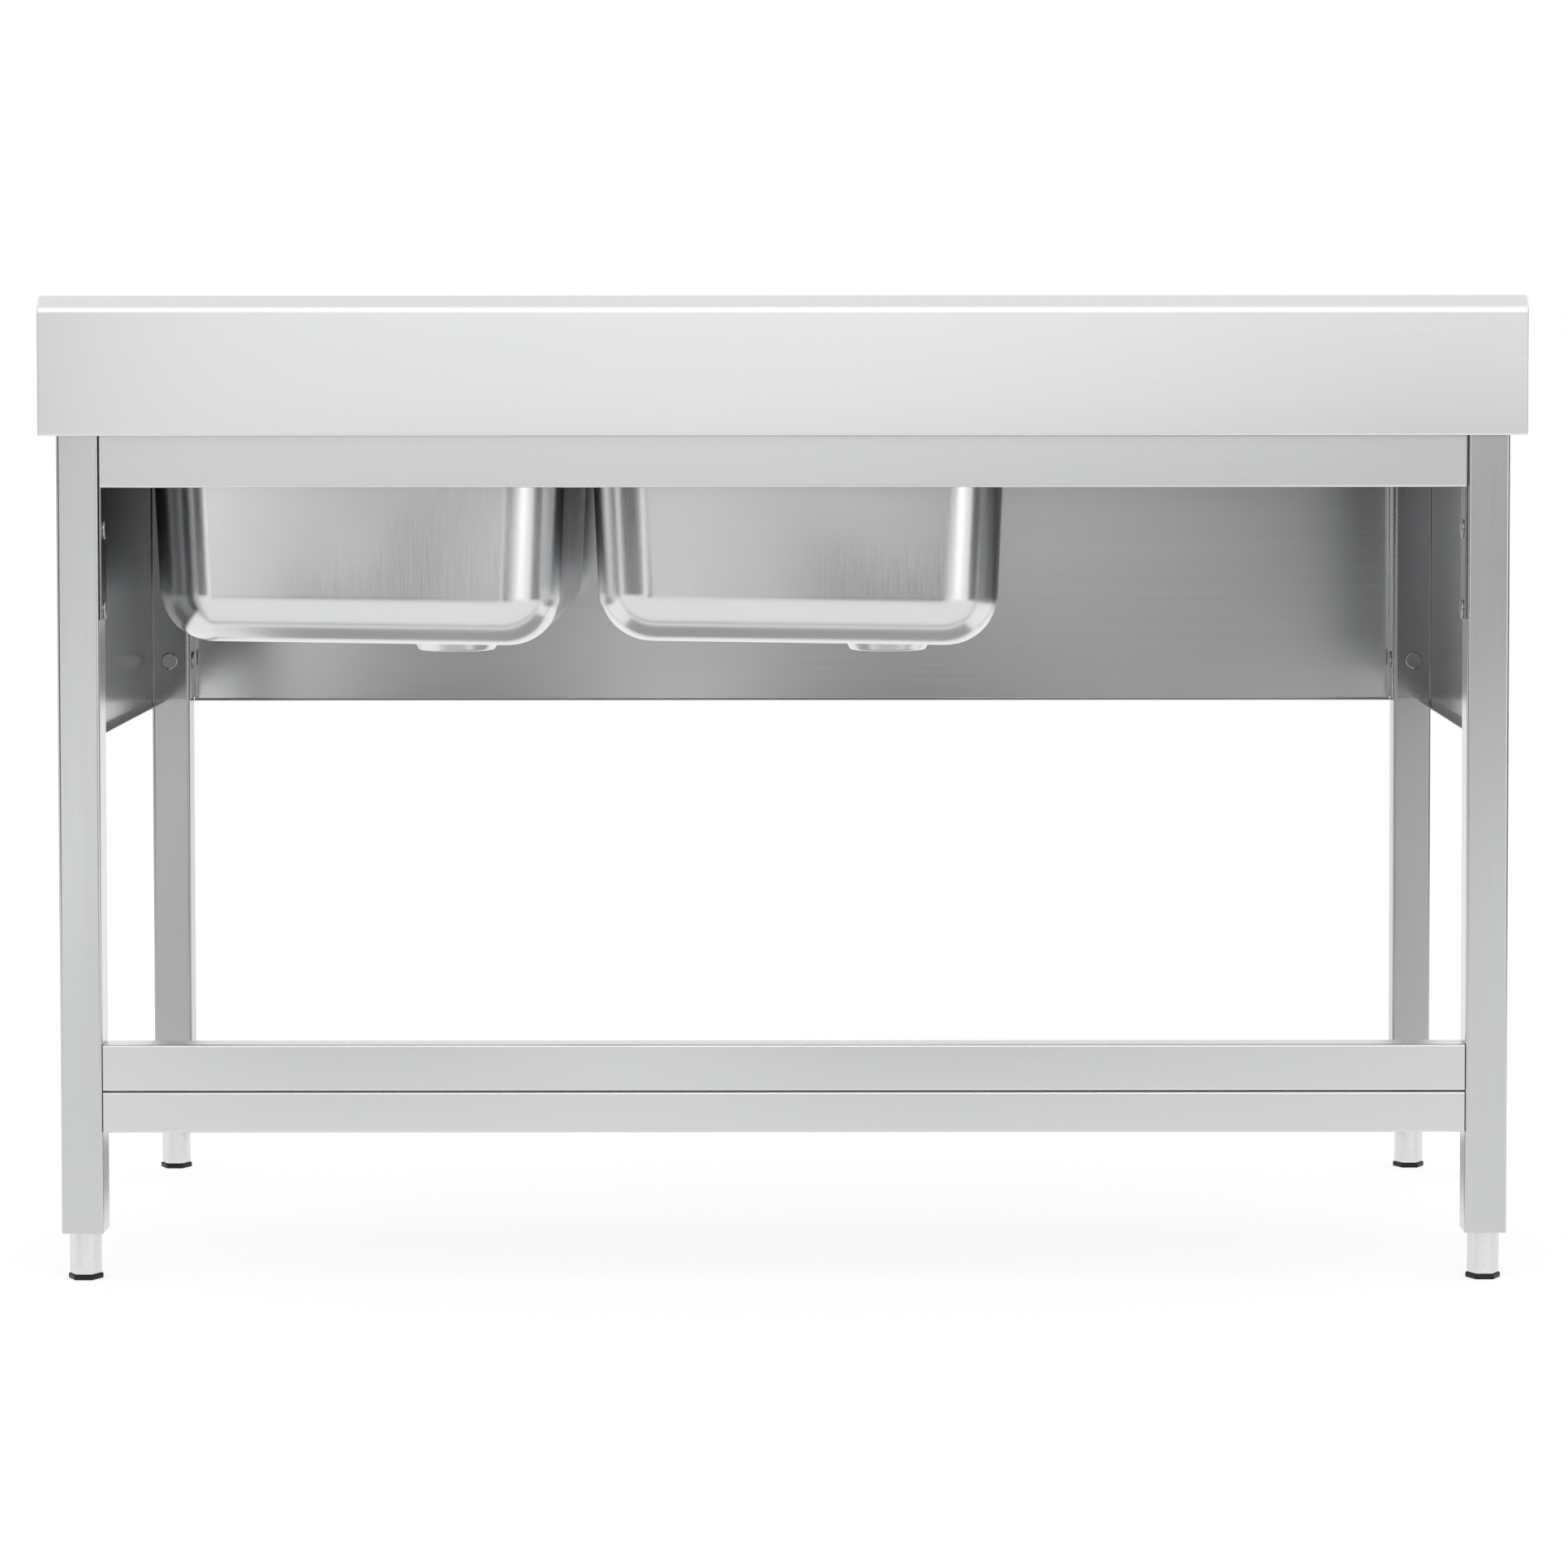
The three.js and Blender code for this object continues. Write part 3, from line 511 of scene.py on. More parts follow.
# %% [markdown]
# ## Adjustable feet
# A black moulded plug closes each leg, with a lip outside and a long body inside that holds
# a nut in a six-sided pocket. A turned sleeve runs in its bore and stands on a hexagonal
# glide. The sleeve has flats for a spanner at its lower end.

# %% Mould the plug
plug_lip = 5.2 * mm
plug_round = 0.5 * mm
plug_body = 18.2 * mm
plug_corner, lip_edge, mouth_edge = 2.5 * mm, 1.2 * mm, 0.6 * mm
bore_radius, spindle_bore, nut_pocket = 15.3 * mm, 6.3 * mm, 11.27 * mm
bore_top = 95.7 * mm
nut_seat = 99.7 * mm

low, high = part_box("foot_plug_rear_left")
foot_axis = (low + high) / 2
plug = block("foot_plug", low, (high.x, high.y, low.z + plug_lip))
pick_edges(plug, lambda at, along: abs(along.z) > 0.9)
fold(plug_corner, 5)
pick_edges(plug, lambda at, along: near(at.z, low.z) and abs(along.z) < 0.1)
fold(lip_edge, 3)
pick_edges(plug, lambda at, along: near(at.z, low.z + plug_lip) and abs(along.z) < 0.1)
fold(plug_round, 2)
pick_faces(plug, lambda at, out: out.z > 0.99)
bpy.ops.mesh.inset(thickness=(high.x - low.x) / 2 - plug_round - plug_body)
bpy.ops.mesh.extrude_region_move(
    TRANSFORM_OT_translate={"value": (0, 0, high.z - low.z - plug_lip)})
bore_foot = (foot_axis.x, foot_axis.y, low.z - 1 * mm)
punch(plug, bar("bore_tool", bore_foot, bore_radius, bore_top - bore_foot[2], 48))
spindle_foot = (foot_axis.x, foot_axis.y, bore_top - 1 * mm)
punch(plug, bar("spindle_tool", spindle_foot, spindle_bore, nut_seat + 2 * mm - bore_top, 32))
nut_foot = (foot_axis.x, foot_axis.y, nut_seat)
punch(plug, bar("nut_tool", nut_foot, nut_pocket, high.z + 1 * mm - nut_seat, 6,
                turn=(0, 0, math.pi / 6)))
pick_folds(plug, 80, 100, lambda at: near(at.z, low.z))
fold(mouth_edge, 2)
smooth(plug)
at_each_corner(plug, "foot_plug", "moulding", "black_plastic", "frame")

# %% Turn the sleeve
wrench_height = 6 * mm
wrench_flats = 27 * mm
sleeve_wall = 2 * mm
sleeve_floor = 3 * mm
sleeve_edge, skim = 0.4 * mm, 0.02 * mm

low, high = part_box("foot_sleeve_rear_left")
sleeve_radius = (high.x - low.x) / 2
shoulder = low.z + wrench_height
sleeve = bar("foot_sleeve", (foot_axis.x, foot_axis.y, shoulder), sleeve_radius,
             high.z - shoulder, 64)
foot = (foot_axis.x, foot_axis.y, low.z)
spanner_end = bar("spanner_end", foot, wrench_flats / math.sqrt(3), wrench_height, 6)
work_on(spanner_end)
bpy.ops.mesh.select_all(action="SELECT")
bpy.ops.transform.rotate(value=math.radians(30), orient_axis="Z", center_override=foot)
punch(spanner_end, bar("round_tool", foot, sleeve_radius - skim, wrench_height, 64),
      "INTERSECT")
punch(sleeve, spanner_end, "UNION")
pick_faces(sleeve, lambda at, out: out.z > 0.99 and near(at.z, high.z))
bpy.ops.mesh.inset(thickness=sleeve_wall)
bpy.ops.mesh.extrude_region_move(
    TRANSFORM_OT_translate={"value": (0, 0, low.z + sleeve_floor - high.z)})
pick_folds(sleeve, 60, 120, lambda at: near(at.z, low.z))
fold(sleeve_edge, 2)
smooth(sleeve)
at_each_corner(sleeve, "foot_sleeve", "turned", "foot_steel")

# %% Mould the glide
glide_corner, glide_edge = 1.5 * mm, 1 * mm

low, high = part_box("foot_pad_rear_left")
foot = (foot_axis.x, foot_axis.y, low.z)
glide = bar("foot_pad", foot, (high.x - low.x) / 2, high.z - low.z, 6)
work_on(glide)
bpy.ops.mesh.select_all(action="SELECT")
bpy.ops.transform.rotate(value=math.radians(30), orient_axis="Z", center_override=foot)
pick_edges(glide, lambda at, along: abs(along.z) > 0.9)
fold(glide_corner, 4)
pick_edges(glide, lambda at, along: abs(along.z) < 0.1)
fold(glide_edge, 3)
smooth(glide)
print("glide:", [round(v / mm, 1) for v in glide.dimensions], "node:",
      [round(v / mm, 1) for v in high - low])
at_each_corner(glide, "foot_pad", "moulding", "black_plastic")

# %% [markdown]
# ## Apron and side panels
# Each panel is a web with a flange at both ends, a hem below and a flange on top. Small
# notches keep the folds from tearing each other, and show at the lower corners. The web's
# back keeps the darker face that the sheet had when it was rolled, so the wall takes a second
# finish inside. On the side panels that inside is darker again: painted shade for the shaded
# inside under the deck.

# %% Fold a panel
panel_sheet = 1 * mm
panel_fold = 2 * mm
panel_hem, panel_top = 12 * mm, 18 * mm
notch = 4 * mm


def panel(name, node, axis, side):
    """Folds a panel whose web looks along an axis, towards its low or high side."""
    low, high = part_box(node)
    web = high[axis] if side > 0 else low[axis]
    back = low[axis] if side > 0 else high[axis]
    piece = block(name, low, high)
    drop_faces(piece, lambda at, out: near(at[axis], back))
    for cut_axis, place in ((2, low.z + notch), (2, high.z - notch),
                            (axis, web - side * panel_hem), (axis, web - side * panel_top)):
        split(piece, cut_axis, place)
    drop_faces(piece, lambda at, out: abs(out[1 - axis]) > 0.9
               and not low.z + notch < at.z < high.z - notch)
    drop_faces(piece, lambda at, out: out.z < -0.9 and abs(web - at[axis]) > panel_hem)
    drop_faces(piece, lambda at, out: out.z > 0.9 and abs(web - at[axis]) > panel_top)
    pick_folds(piece, 80, 100)
    fold(panel_fold, 5)
    for _ in ("outside", "back"):
        piece.data.materials.append(None)
    give_wall(piece, panel_sheet, inside=1)
    return piece


apron = panel("front_apron_folded", "front_apron", 1, -1)
smooth(apron)
hand_over(apron, "frame", "panel_steel", "front_apron")

# %% Fold the side panels and drill their relief holes
relief_radius = 1.5 * mm
relief_inset, relief_rise = 14 * mm, 3 * mm
for hand, side in (("left", -1), ("right", 1)):
    node = f"side_panel_{hand}"
    low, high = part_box(node)
    side_panel = panel(f"{node}_folded", node, 0, side)
    outer = high.x if side > 0 else low.x
    middle = Vector((outer - side * relief_inset, (low.y + high.y) / 2,
                     low.z + notch + relief_rise))
    reach = high.y - low.y + 2 * mm
    drill = bar("relief_tool", middle - Vector((0, 0, reach / 2)), relief_radius, reach, 24,
                turn=(math.pi / 2, 0, 0))
    punch(side_panel, drill)
    smooth(side_panel)
    hand_over(side_panel, "frame", "panel_steel", node)

# %% [markdown]
# ## Rails and brackets
# The rear rail and the two braces are channels with their backs flush with the rear legs.
# The braces are closed at their ends by the tabs that are screwed to the legs. Two plates
# carry the ends of the rear rail.

# %% Fold the rear rail
rail_sheet = 1.2 * mm
rail_fold = 2.4 * mm
rail = channel("rear_rail_channel", "rear_rail", 1, -1, rail_fold, rail_sheet)
low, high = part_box("rear_rail")
plate_face = 643.4 * mm
for side in (-1, 1):
    ends = sorted((side * plate_face, side * (high.x + 1 * mm)))
    punch(rail, block("notch_tool", (ends[0], low.y - mm, low.z - mm),
                      (ends[1], high.y - rail_sheet, high.z + mm)))
smooth(rail)
hand_over(rail, "frame", "frame_steel", "rear_rail")

# %% Fold the braces
for level in ("lower", "upper"):
    node = f"brace_{level}"
    brace = channel(f"{node}_channel", node, 1, -1, rail_fold, rail_sheet, closed=True)
    hand_over(brace, "frame", "frame_steel", node)

# %% Cut the brackets
bracket_sheet, bracket_edge = 2 * mm, 0.3 * mm
tab_foot = 757 * mm
for hand, side in (("left", -1), ("right", 1)):
    node = f"rear_bracket_{hand}"
    low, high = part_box(node)
    outer = high.x if side > 0 else low.x
    inner = outer - side * bracket_sheet
    plate = block(f"{node}_plate", (min(outer, inner), low.y, low.z),
                  (max(outer, inner), high.y, high.z))
    split(plate, 2, tab_foot)
    split(plate, 1, high.y - bracket_sheet)
    pick_faces(plate, lambda at, out: out.x * side < -0.9 and at.z > tab_foot
               and at.y > high.y - bracket_sheet)
    bpy.ops.mesh.extrude_region_move(
        TRANSFORM_OT_translate={"value": (side * bracket_sheet - side * (high.x - low.x), 0, 0)})
    pick_folds(plate, 80, 100)
    fold(bracket_edge, 2)
    smooth(plate)
    hand_over(plate, "frame", "frame_steel", node)

# %% [markdown]
# ## Screws
# All twenty screws are alike: a hexagon head with a round hollow, on a captive washer. One
# is modelled standing up with its washer on the origin, and each place gets a turned copy
# with a shank of its own length.
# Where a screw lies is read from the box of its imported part: it is shortest along its axis,
# and its head looks away from the leg.

# %% Model one screw
washer_radius, washer_height = 9 * mm, 1.6 * mm
head_radius, head_height = 5.77 * mm, 4 * mm
hollow_radius, hollow_depth = 2.9 * mm, 1.8 * mm
shank_radius = 2.9 * mm
washer_edge, head_edge, hollow_edge = 1.4 * mm, 1.1 * mm, 0.35 * mm

screw = bar("screw", (0, 0, 0), washer_radius, washer_height, 48)
pick_edges(screw, lambda at, along: near(at.z, washer_height))
fold(washer_edge, 4)
head = bar("head", (0, 0, washer_height), head_radius, head_height, 6)
work_on(head)
bpy.ops.mesh.select_all(action="SELECT")
bpy.ops.transform.rotate(value=math.radians(30), orient_axis="Z", center_override=(0, 0, 0))
pick_edges(head, lambda at, along: near(at.z, washer_height + head_height))
fold(head_edge, 3)
hollow_foot = (0, 0, washer_height + head_height - hollow_depth)
punch(head, bar("hollow_tool", hollow_foot, hollow_radius, hollow_depth + 1 * mm, 32))
pick_folds(head, 80, 100, lambda at: near(at.z, washer_height + head_height)
           and at.xy.length < hollow_radius + 0.2 * mm)
fold(hollow_edge, 2)
work_on(head, "OBJECT")
screw.select_set(True)
bpy.context.view_layer.objects.active = screw
bpy.ops.object.join()
smooth(screw)

# %% Put a screw at each place
screw_top = washer_height + head_height
screw_nodes = sorted(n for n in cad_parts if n.startswith("screw_"))
for node in screw_nodes:
    low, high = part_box(node)
    size = high - low
    axis = min(range(3), key=lambda k: size[k])
    towards_rear = "front" in node
    out = (1 if towards_rear else -1) if axis == 1 else (-1 if low.x > 0 else 1)
    place = (low + high) / 2
    place[axis] = (high[axis] if out > 0 else low[axis]) - out * screw_top
    fixed = copy_of(screw, f"{node}_bright")
    shank = bar("shank", (0, 0, screw_top - size[axis]), shank_radius,
                size[axis] - screw_top + 0.1 * mm, 24)
    punch(fixed, shank, "UNION")
    fixed.rotation_euler = (-out * math.pi / 2, 0, 0) if axis == 1 else (0, out * math.pi / 2, 0)
    fixed.location = place
    work_on(fixed, "OBJECT")
    bpy.ops.object.transform_apply(location=True, rotation=True, scale=True)
    smooth(fixed)
    hand_over(fixed, "frame", "fastener_steel", node)
bpy.data.objects.remove(screw)
print("screws:", len(screw_nodes))

# %% [markdown]
# ## Finishes
# Stainless sheet is ground at the mill with a belt, which leaves fine lines all one way. On a
# real sink they show as soft streaks in the shine. Noise stretched along one axis draws such
# lines: a fine one for the grain, and a broad one for the belt's uneven pressure. They read
# Object coordinates, so the lines keep their real size and run through all sides of a piece.

# %% Nodes that draw a stretched grain
noise_low, noise_high = 0.3, 0.7
lightest = 0.97


def new_finish(name, metallic, tone, roughness):
    """Makes a material with its constant values set on the shader, and returns its nodes."""
    finish = bpy.data.materials.new(name)
    finish.use_nodes = True
    nodes = finish.node_tree.nodes
    shader = nodes["Principled BSDF"]
    shader.inputs["Metallic"].default_value = metallic
    shader.inputs["Base Color"].default_value = (*tone, 1)
    shader.inputs["Roughness"].default_value = roughness
    return finish, nodes, finish.node_tree.links, shader


def stretched_noise(nodes, links, stretch, detail=2.0):
    """Noise whose scale is set along each axis, in cells to the metre."""
    place = nodes.new("ShaderNodeTexCoord")
    mapping = nodes.new("ShaderNodeMapping")
    noise = nodes.new("ShaderNodeTexNoise")
    mapping.inputs["Scale"].default_value = stretch
    noise.inputs["Scale"].default_value = 1.0
    noise.inputs["Detail"].default_value = detail
    links.new(place.outputs["Object"], mapping.inputs["Vector"])
    links.new(mapping.outputs["Vector"], noise.inputs["Vector"])
    return noise.outputs["Fac"]


def spread(nodes, links, source, low, high):
    """Turns the middle of a noise's range into a range of values."""
    ranged = nodes.new("ShaderNodeMapRange")
    ranged.inputs["From Min"].default_value = noise_low
    ranged.inputs["From Max"].default_value = noise_high
    ranged.inputs["To Min"].default_value = low
    ranged.inputs["To Max"].default_value = high
    links.new(source, ranged.inputs["Value"])
    return ranged.outputs["Result"]


def shades(nodes, links, source, dark, light):
    """Colours between two tones."""
    ramp = nodes.new("ShaderNodeValToRGB")
    ramp.color_ramp.elements[0].position = noise_low
    ramp.color_ramp.elements[1].position = noise_high
    ramp.color_ramp.elements[0].color = (*dark, 1)
    ramp.color_ramp.elements[1].color = (*light, 1)
    links.new(source, ramp.inputs["Fac"])
    return ramp.outputs["Color"]


def relief(nodes, links, source, shader, height, strength):
    """Lets a noise tilt the shine, as a surface this uneven would."""
    bump = nodes.new("ShaderNodeBump")
    bump.inputs["Strength"].default_value = strength
    bump.inputs["Distance"].default_value = height
    links.new(source, bump.inputs["Height"])
    links.new(bump.outputs["Normal"], shader.inputs["Normal"])


# %% [markdown]
# Steel takes its colour from what it reflects, and its own tone only dims that. A ground sheet
# gets three things from its noises: a roughness that wanders a little, a tone that varies by
# about a percent from streak to streak, and a relief of a few micrometres. The tones are set by
# how light or dark each piece looks, and the axis is that of its own grain.

# %% Ground sheet
def ground_steel(name, tone, roughness, axis, streak=0.005, grain=0.012, wander=0.010):
    """Belt-ground stainless steel, with its grain along an axis."""
    finish, nodes, links, shader = new_finish(name, 1.0, tone, roughness)
    fine, broad, cloud = [1400.0] * 3, [160.0] * 3, [6.0] * 3
    fine[axis], broad[axis], cloud[axis] = 9.0, 1.3, 1.5
    fine_noise = stretched_noise(nodes, links, fine, 3.0)
    broad_noise = stretched_noise(nodes, links, broad, 3.0)
    cloud_noise = stretched_noise(nodes, links, cloud, 1.0)
    links.new(shades(nodes, links, broad_noise, [v * (1 - streak) for v in tone],
                     [min(v * (1 + streak), lightest) for v in tone]), shader.inputs["Base Color"])
    blend = nodes.new("ShaderNodeMath")
    blend.operation = "ADD"
    links.new(spread(nodes, links, fine_noise, roughness - grain, roughness + grain),
              blend.inputs[0])
    links.new(spread(nodes, links, cloud_noise, -wander, wander), blend.inputs[1])
    links.new(blend.outputs["Value"], shader.inputs["Roughness"])
    relief(nodes, links, fine_noise, shader, 0.002 * mm, 0.2)
    return finish


along_x, along_y, along_z = 0, 1, 2
worktop_finish = ground_steel("worktop_ground_lengthwise", (0.83, 0.835, 0.84), 0.26, along_x)
rail_finish = ground_steel("rail_ground_lengthwise", (0.72, 0.725, 0.73), 0.26, along_x)
leg_finish = ground_steel("leg_ground_upright", (0.635, 0.64, 0.645), 0.22, along_z, 0.008)
# The front legs are the same steel as the rear legs, in a darker copy: painted shade for the shade
# they stand in under the worktop.
front_leg_painted_shade = ground_steel("front_leg_ground_painted_shade", (0.45, 0.455, 0.46), 0.22, along_z, 0.008)
panel_finish = ground_steel("panel_ground", (0.72, 0.725, 0.73), 0.28, along_x)
mill_finish = ground_steel("panel_back_as_rolled", (0.54, 0.545, 0.55), 0.19, along_x, 0.015)
# The side panels' backs get a darker copy of the as-rolled back: painted shade for the shaded
# inside under the deck. The rear brackets take it too, which paints shade into the gaps beside
# them.
side_back_painted_shade = ground_steel("side_back_as_rolled_painted_shade", (0.32, 0.325, 0.33), 0.19, along_y, 0.015)

# %% [markdown]
# The bowls are drawn and then polished by hand, so their shine is clearer and has soft clouds
# instead of lines. Zinc-plated screws are smoother still, and turned feet are duller. Moulded
# plastic has a fine leathery grain from its tool.

# %% Polished, plated and moulded finishes
def polished_steel(name, tone, roughness, cells, wander=0.02):
    """Steel with soft clouds in its shine, and faint upright lines from polishing."""
    finish, nodes, links, shader = new_finish(name, 1.0, tone, roughness)
    clouds = stretched_noise(nodes, links, (cells, cells, cells), 0.0)
    lines = stretched_noise(nodes, links, (900.0, 900.0, 14.0), 3.0)
    links.new(shades(nodes, links, clouds, [v * 0.98 for v in tone],
                     [min(v * 1.02, lightest) for v in tone]), shader.inputs["Base Color"])
    blend = nodes.new("ShaderNodeMath")
    blend.operation = "ADD"
    links.new(spread(nodes, links, clouds, roughness - wander, roughness + wander),
              blend.inputs[0])
    links.new(spread(nodes, links, lines, -0.02, 0.02), blend.inputs[1])
    links.new(blend.outputs["Value"], shader.inputs["Roughness"])
    relief(nodes, links, lines, shader, 0.01 * mm, 0.15)
    return finish


bowl_finish = polished_steel("bowl_satin_polish", (0.76, 0.765, 0.77), 0.23, 9.0)
zinc_finish = polished_steel("zinc_plating", (0.42, 0.42, 0.415), 0.13, 400.0)
turned_finish = polished_steel("turned_foot", (0.77, 0.77, 0.765), 0.34, 220.0)


def moulded_plastic(name, tone, roughness):
    """Plastic with a fine grain, and patches that differ a little in tone and shine."""
    finish, nodes, links, shader = new_finish(name, 0.0, tone, roughness)
    shader.inputs["Specular IOR Level"].default_value = 0.3
    grain = stretched_noise(nodes, links, (1500.0, 1500.0, 1500.0), 2.0)
    patches = stretched_noise(nodes, links, (90.0, 90.0, 90.0), 2.0)
    links.new(shades(nodes, links, patches, [v * 0.8 for v in tone], [v * 1.25 for v in tone]),
              shader.inputs["Base Color"])
    links.new(spread(nodes, links, patches, roughness - 0.06, roughness + 0.06),
              shader.inputs["Roughness"])
    relief(nodes, links, grain, shader, 0.05 * mm, 0.3)
    return finish


black_plastic = moulded_plastic("black_moulded_plastic", (0.007, 0.007, 0.0075), 0.38)

# %% Give every piece its finish
finishes = {
    "worktop": [worktop_finish], "drainer_stiffener": [rail_finish],
    "right_bowl": [bowl_finish], "left_bowl": [bowl_finish],
    "leg_front": [front_leg_painted_shade], "leg_rear": [leg_finish],
    "foot_plug": [black_plastic], "foot_sleeve": [turned_finish],
    "foot_pad": [black_plastic], "front_apron": [panel_finish, mill_finish],
    "side_panel": [panel_finish, side_back_painted_shade], "rear_rail": [rail_finish],
    # The brackets take the side backs' darker tone, as painted shade in the gaps beside them.
    "rear_bracket": [side_back_painted_shade], "brace": [rail_finish], "screw": [zinc_finish],
    "foot_nut": [zinc_finish], "foot_spindle": [zinc_finish],
}
dressed = 0
for piece in [o for o in bpy.data.objects if o.type == "MESH"]:
    chosen = next(f for start, f in finishes.items() if piece.name.startswith(start))
    while len(piece.data.materials) < len(chosen):
        piece.data.materials.append(None)
    for place, finish in zip(piece.material_slots, chosen):
        place.material = finish
    dressed += 1
print("pieces dressed:", dressed)

# %% [markdown]
# ## Floor, room and light
# The unit stands on a white floor in a white room. Bare steel shows its surroundings, so the
# light on it is mostly what stands round it: glowing cards that only its gloss can see. Three
# upright cards behind the camera stand one above the other. Each is what one band of faces
# mirrors, and changes its level along its length. A low, tilted card in front of the unit
# gives the bowls their bright and dark strips. Dark flags beside the unit darken its legs and
# panels. A dim card under the unit is a painted shadow: it stands in for the unit's shadow on
# the floor where its gloss sees the floor. Plain cards lie on the floor and overhead.

# %% White room and floor
scene = bpy.context.scene
scene.view_settings.view_transform = "Standard"


def seen_directly(nodes, links):
    """1 for rays from the camera, or by way of gloss or glass, and 0 for plain light."""
    path = nodes.new("ShaderNodeLightPath")
    first, second = nodes.new("ShaderNodeMath"), nodes.new("ShaderNodeMath")
    first.operation = second.operation = "MAXIMUM"
    links.new(path.outputs["Is Camera Ray"], first.inputs[0])
    links.new(path.outputs["Is Glossy Ray"], first.inputs[1])
    links.new(first.outputs["Value"], second.inputs[0])
    links.new(path.outputs["Is Transmission Ray"], second.inputs[1])
    return second.outputs["Value"]


room_light = 0.9
room = bpy.data.worlds.new("white_room")
scene.world = room
room.use_nodes = True
nodes, links = room.node_tree.nodes, room.node_tree.links
seen_white = nodes["Background"]
seen_white.inputs["Color"].default_value = (1, 1, 1, 1)
seen_white.inputs["Strength"].default_value = 1
plain_light = nodes.new("ShaderNodeBackground")
plain_light.inputs["Color"].default_value = (1, 1, 1, 1)
plain_light.inputs["Strength"].default_value = room_light
choose = nodes.new("ShaderNodeMixShader")
links.new(seen_directly(nodes, links), choose.inputs["Fac"])
links.new(plain_light.outputs["Background"], choose.inputs[1])
links.new(seen_white.outputs["Background"], choose.inputs[2])
links.new(choose.outputs["Shader"], nodes["World Output"].inputs["Surface"])

floor_half, floor_glow = 30, 0.76
floor = block("floor", (-floor_half, -floor_half, -0.02), (floor_half, floor_half, 0))
floor_paint = bpy.data.materials.new("floor_paint")
floor_paint.use_nodes = True
nodes, links = floor_paint.node_tree.nodes, floor_paint.node_tree.links
paint = nodes["Principled BSDF"]
paint.inputs["Base Color"].default_value = (0.85, 0.85, 0.85, 1)
paint.inputs["Roughness"].default_value = 0.9
shade_keeper = nodes.new("ShaderNodeBsdfDiffuse")
shade_keeper.inputs["Color"].default_value = (0.3, 0.3, 0.3, 1)
glow = nodes.new("ShaderNodeEmission")
glow.inputs["Strength"].default_value = floor_glow
both = nodes.new("ShaderNodeAddShader")
choose = nodes.new("ShaderNodeMixShader")
links.new(shade_keeper.outputs["BSDF"], both.inputs[0])
links.new(glow.outputs["Emission"], both.inputs[1])
links.new(seen_directly(nodes, links), choose.inputs["Fac"])
links.new(paint.outputs["BSDF"], choose.inputs[1])
links.new(both.outputs["Shader"], choose.inputs[2])
links.new(choose.outputs["Shader"], nodes["Material Output"].inputs["Surface"])
floor.data.materials.append(floor_paint)

# %% Cards that only gloss can see
def levels_along(nodes, links, source, span, levels):
    """Grey levels along a card, given as places in metres and the level at each."""
    along = nodes.new("ShaderNodeMapRange")
    along.inputs["From Min"].default_value = -0.5
    along.inputs["From Max"].default_value = 0.5
    ramp = nodes.new("ShaderNodeValToRGB")
    points = ramp.color_ramp.elements
    while len(points) < len(levels):
        points.new(0.5)
    for point, (place, level) in zip(points, levels):
        point.position = (place - span[0]) / (span[1] - span[0])
        point.color = (level, level, level, 1)
    links.new(source, along.inputs["Value"])
    links.new(along.outputs["Result"], ramp.inputs["Fac"])
    return ramp.outputs["Color"]


def card(name, middle, width, height, turn, levels):
    """A glowing card, hidden from the camera. Its levels are one number, or run along x."""
    put_down()
    bpy.ops.mesh.primitive_plane_add(size=1, location=middle, rotation=turn)
    piece = bpy.context.object
    piece.name = piece.data.name = name
    piece.scale = (width, height, 1)
    paper = bpy.data.materials.new(f"{name}_paper")
    paper.use_nodes = True
    nodes, links = paper.node_tree.nodes, paper.node_tree.links
    nodes.remove(nodes["Principled BSDF"])
    shine = nodes.new("ShaderNodeEmission")
    if isinstance(levels, list):
        place, sides = nodes.new("ShaderNodeTexCoord"), nodes.new("ShaderNodeSeparateXYZ")
        links.new(place.outputs["Object"], sides.inputs["Vector"])
        span = (middle[0] - width / 2, middle[0] + width / 2)
        links.new(levels_along(nodes, links, sides.outputs["X"], span, levels),
                  shine.inputs["Strength"])
    else:
        shine.inputs["Strength"].default_value = levels
    links.new(shine.outputs["Emission"], nodes["Material Output"].inputs["Surface"])
    piece.data.materials.append(paper)
    piece.visible_camera = piece.visible_shadow = piece.visible_diffuse = False


# %% Hang the cards
upright = math.pi / 2
card("skirt_card", (0, 7, 0.89), 9, 0.52, (upright, 0, 0),
     [(-4.5, 0.50), (-2.4, 0.45), (-1.7, 0.45), (-1.3, 0.72), (-0.7, 1.06), (0, 1.0),
      (0.8, 0.97), (1.4, 0.90), (1.8, 0.86), (4.5, 0.86)])
card("sky_card", (0, 7, 2.575), 9, 2.85, (upright, 0, 0),
     [(-4.5, 1.15), (0, 1.2), (1.5, 1.0), (4.5, 0.92)])
card("apron_card", (0, 7, 0.315), 9, 0.63, (upright, 0, 0),
     [(-4.5, 0.20), (-2.4, 0.10), (-1.3, 0.05), (-1.0, 0.33), (-0.5, 0.84), (0.2, 0.88),
      (0.8, 0.66), (1.2, 0.85), (1.5, 1.08), (1.8, 1.12), (4.5, 1.0)])
card("bowl_card", (0.25, 3.2, 0.17), 2.1, 1.632, (math.radians(11.3), 0, 0),
     [(-0.8, 0.37), (-0.6, 0.53), (-0.45, 0.55), (-0.3, 0.20), (-0.2, 0), (0, 0), (0.1, 0.35),
      (0.2, 1.3), (0.3, 1.5), (0.4, 0.4), (0.5, 0), (0.8, 0), (0.9, 0.3), (1.0, 1.3),
      (1.15, 1.6), (1.3, 1.6)])
card("left_flag", (2.17, 2.28, 0.70), 2.28, 1.3, (upright, 0, math.radians(-43.6)), 0.02)
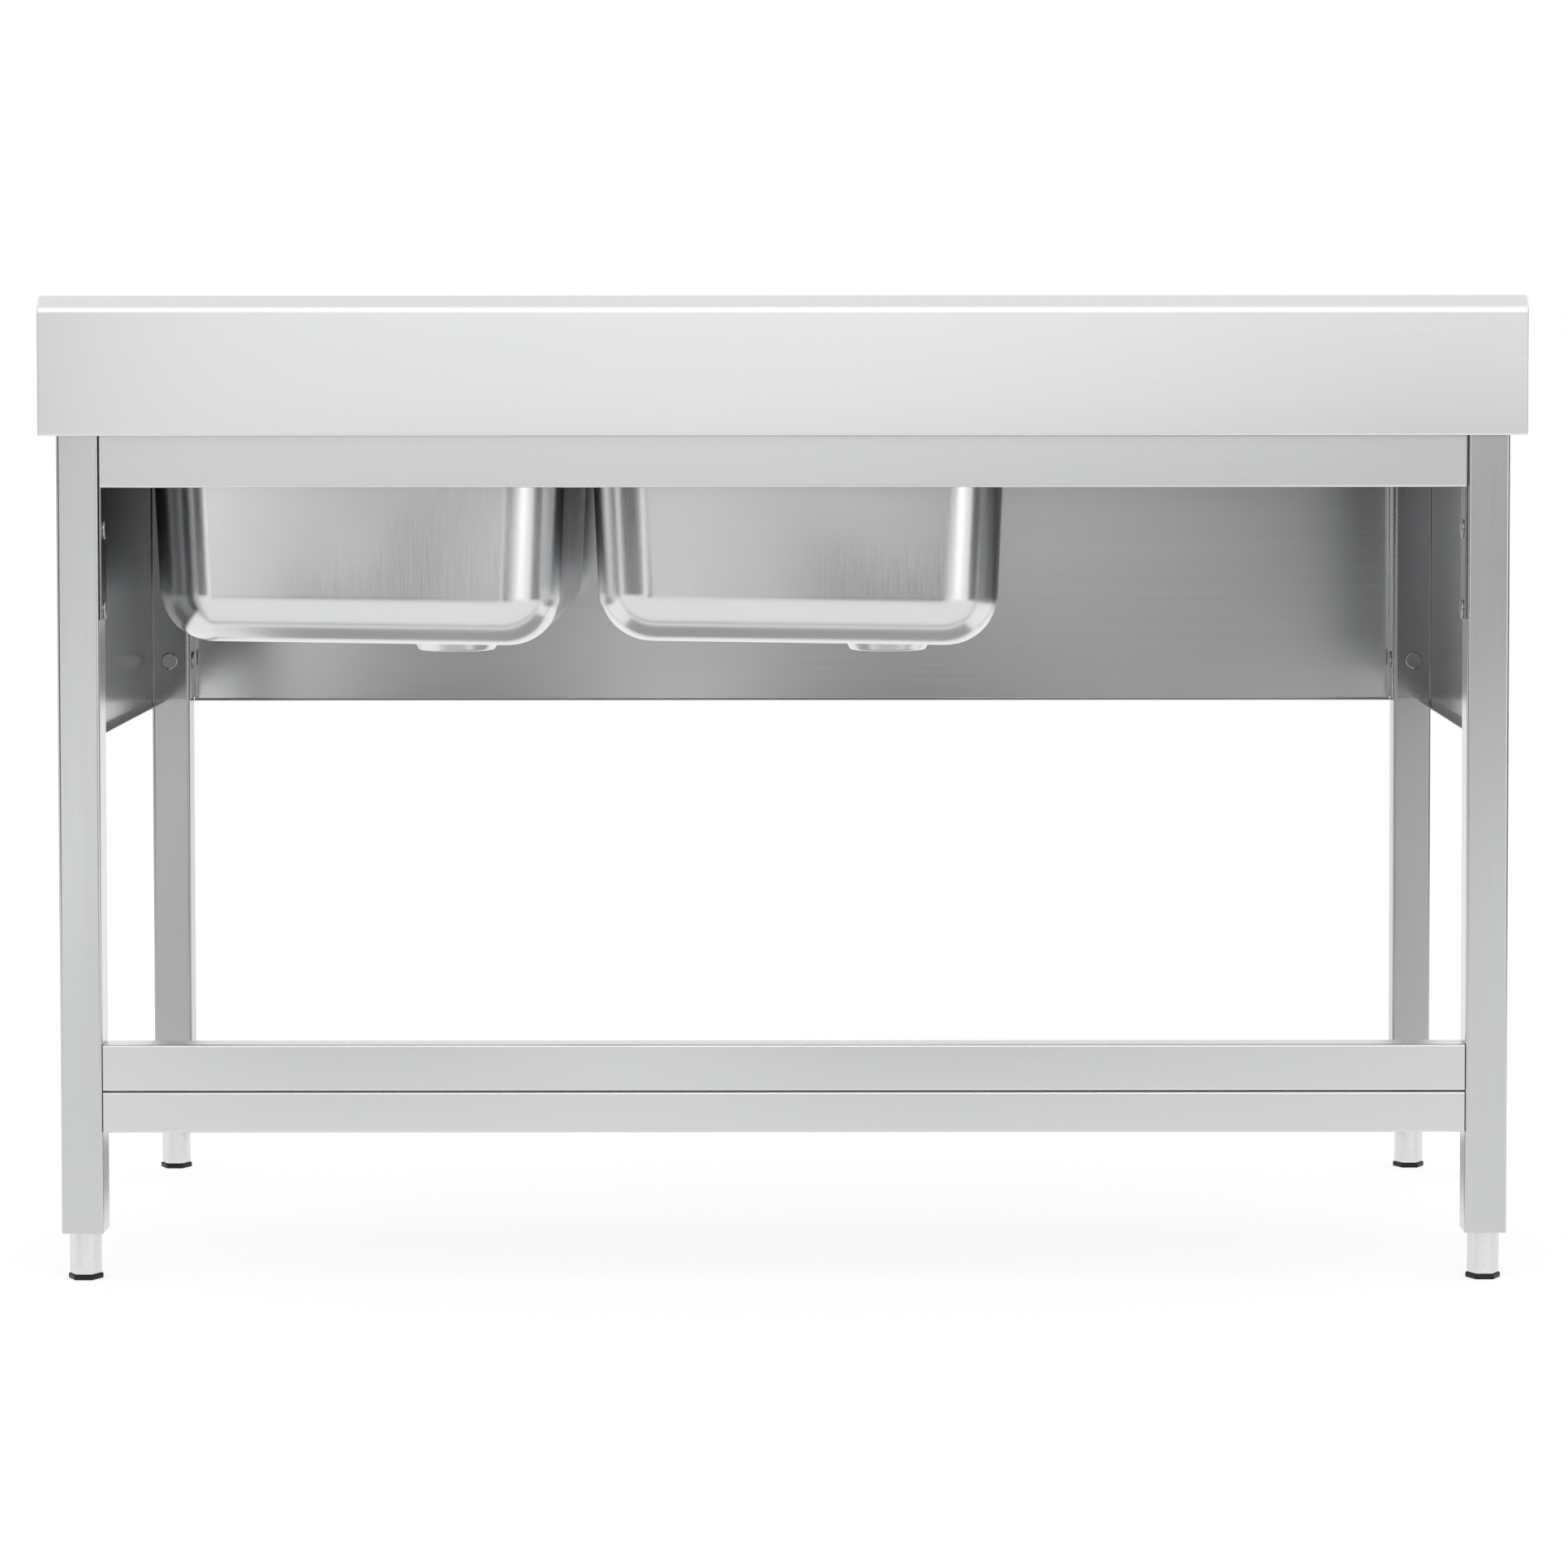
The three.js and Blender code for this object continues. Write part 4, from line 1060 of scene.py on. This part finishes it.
card("right_flag", (-2.6, 0.9, 0.8), 1.6, 1.6, (upright, 0, math.radians(75)), 0.10)
card("left_back_flag", (2.8, -1.4, 0.8), 1.6, 1.6, (upright, 0, math.radians(-110)), 0.10)
card("right_back_flag", (-2.8, -1.4, 0.8), 1.6, 1.6, (upright, 0, math.radians(110)), 0.10)
# A dim card under the unit: a painted shadow, standing in for the shadow on the floor under the
# unit that the bowls and rails mirror.
card("under_card", (0, -0.05, 0.03), 1.2, 0.55, (0, 0, 0), 0.40)
card("floor_card", (0, 1.4, 0.01), 3.2, 1.9, (0, 0, 0), 0.94)
card("ceiling_card", (0, 2.2, 4.6), 7, 2.6, (0, 0, 0), 0.88)
card("back_ceiling_card", (0, -2.9, 3.6), 7, 4.2, (0, 0, 0), 1.35)


# %% Lamps
def lamp(name, place, aim, power, width, height):
    """A soft box. The light it gives does not depend on its shape, only its power."""
    data = bpy.data.lights.new(name, "AREA")
    data.shape = "RECTANGLE"
    data.size, data.size_y, data.energy = width, height, power
    light = bpy.data.objects.new(name, data)
    scene.collection.objects.link(light)
    light.location = place
    light.rotation_euler = (Vector(aim) - Vector(place)).to_track_quat("-Z", "Y").to_euler()


middle = (0, 0, 0.8)
lamp("right_strip", (-2.1, 3.2, 1.3), middle, 6, 1.0, 2.4)
lamp("high_front", (0, 4.6, 3.4), middle, 18, 4.0, 0.6)
lamp("high_back", (0, -3.0, 4.0), middle, 18, 4.0, 0.7)

# %% [markdown]
# ## Camera
# The picture was taken from the wall side, square to the unit and a little below its top,
# with a long lens. The lens is shifted, as on a view camera, so that upright edges stay
# upright while the horizon lies above the middle of the picture.

# %% Set the camera
view = bpy.data.cameras.new("view")
camera = bpy.data.objects.new("view", view)
scene.collection.objects.link(camera)
scene.camera = camera
camera.location = (-0.0653, 4.9199, 0.8979)
tilt_down, roll = 2.516, 0.038
camera.rotation_euler = (math.radians(90 - tilt_down), math.radians(roll), math.radians(180))
view.sensor_width = 36
view.lens = 111.74
view.shift_x, view.shift_y = -0.0435, -0.15
print("camera stands at", [round(v, 2) for v in camera.location])
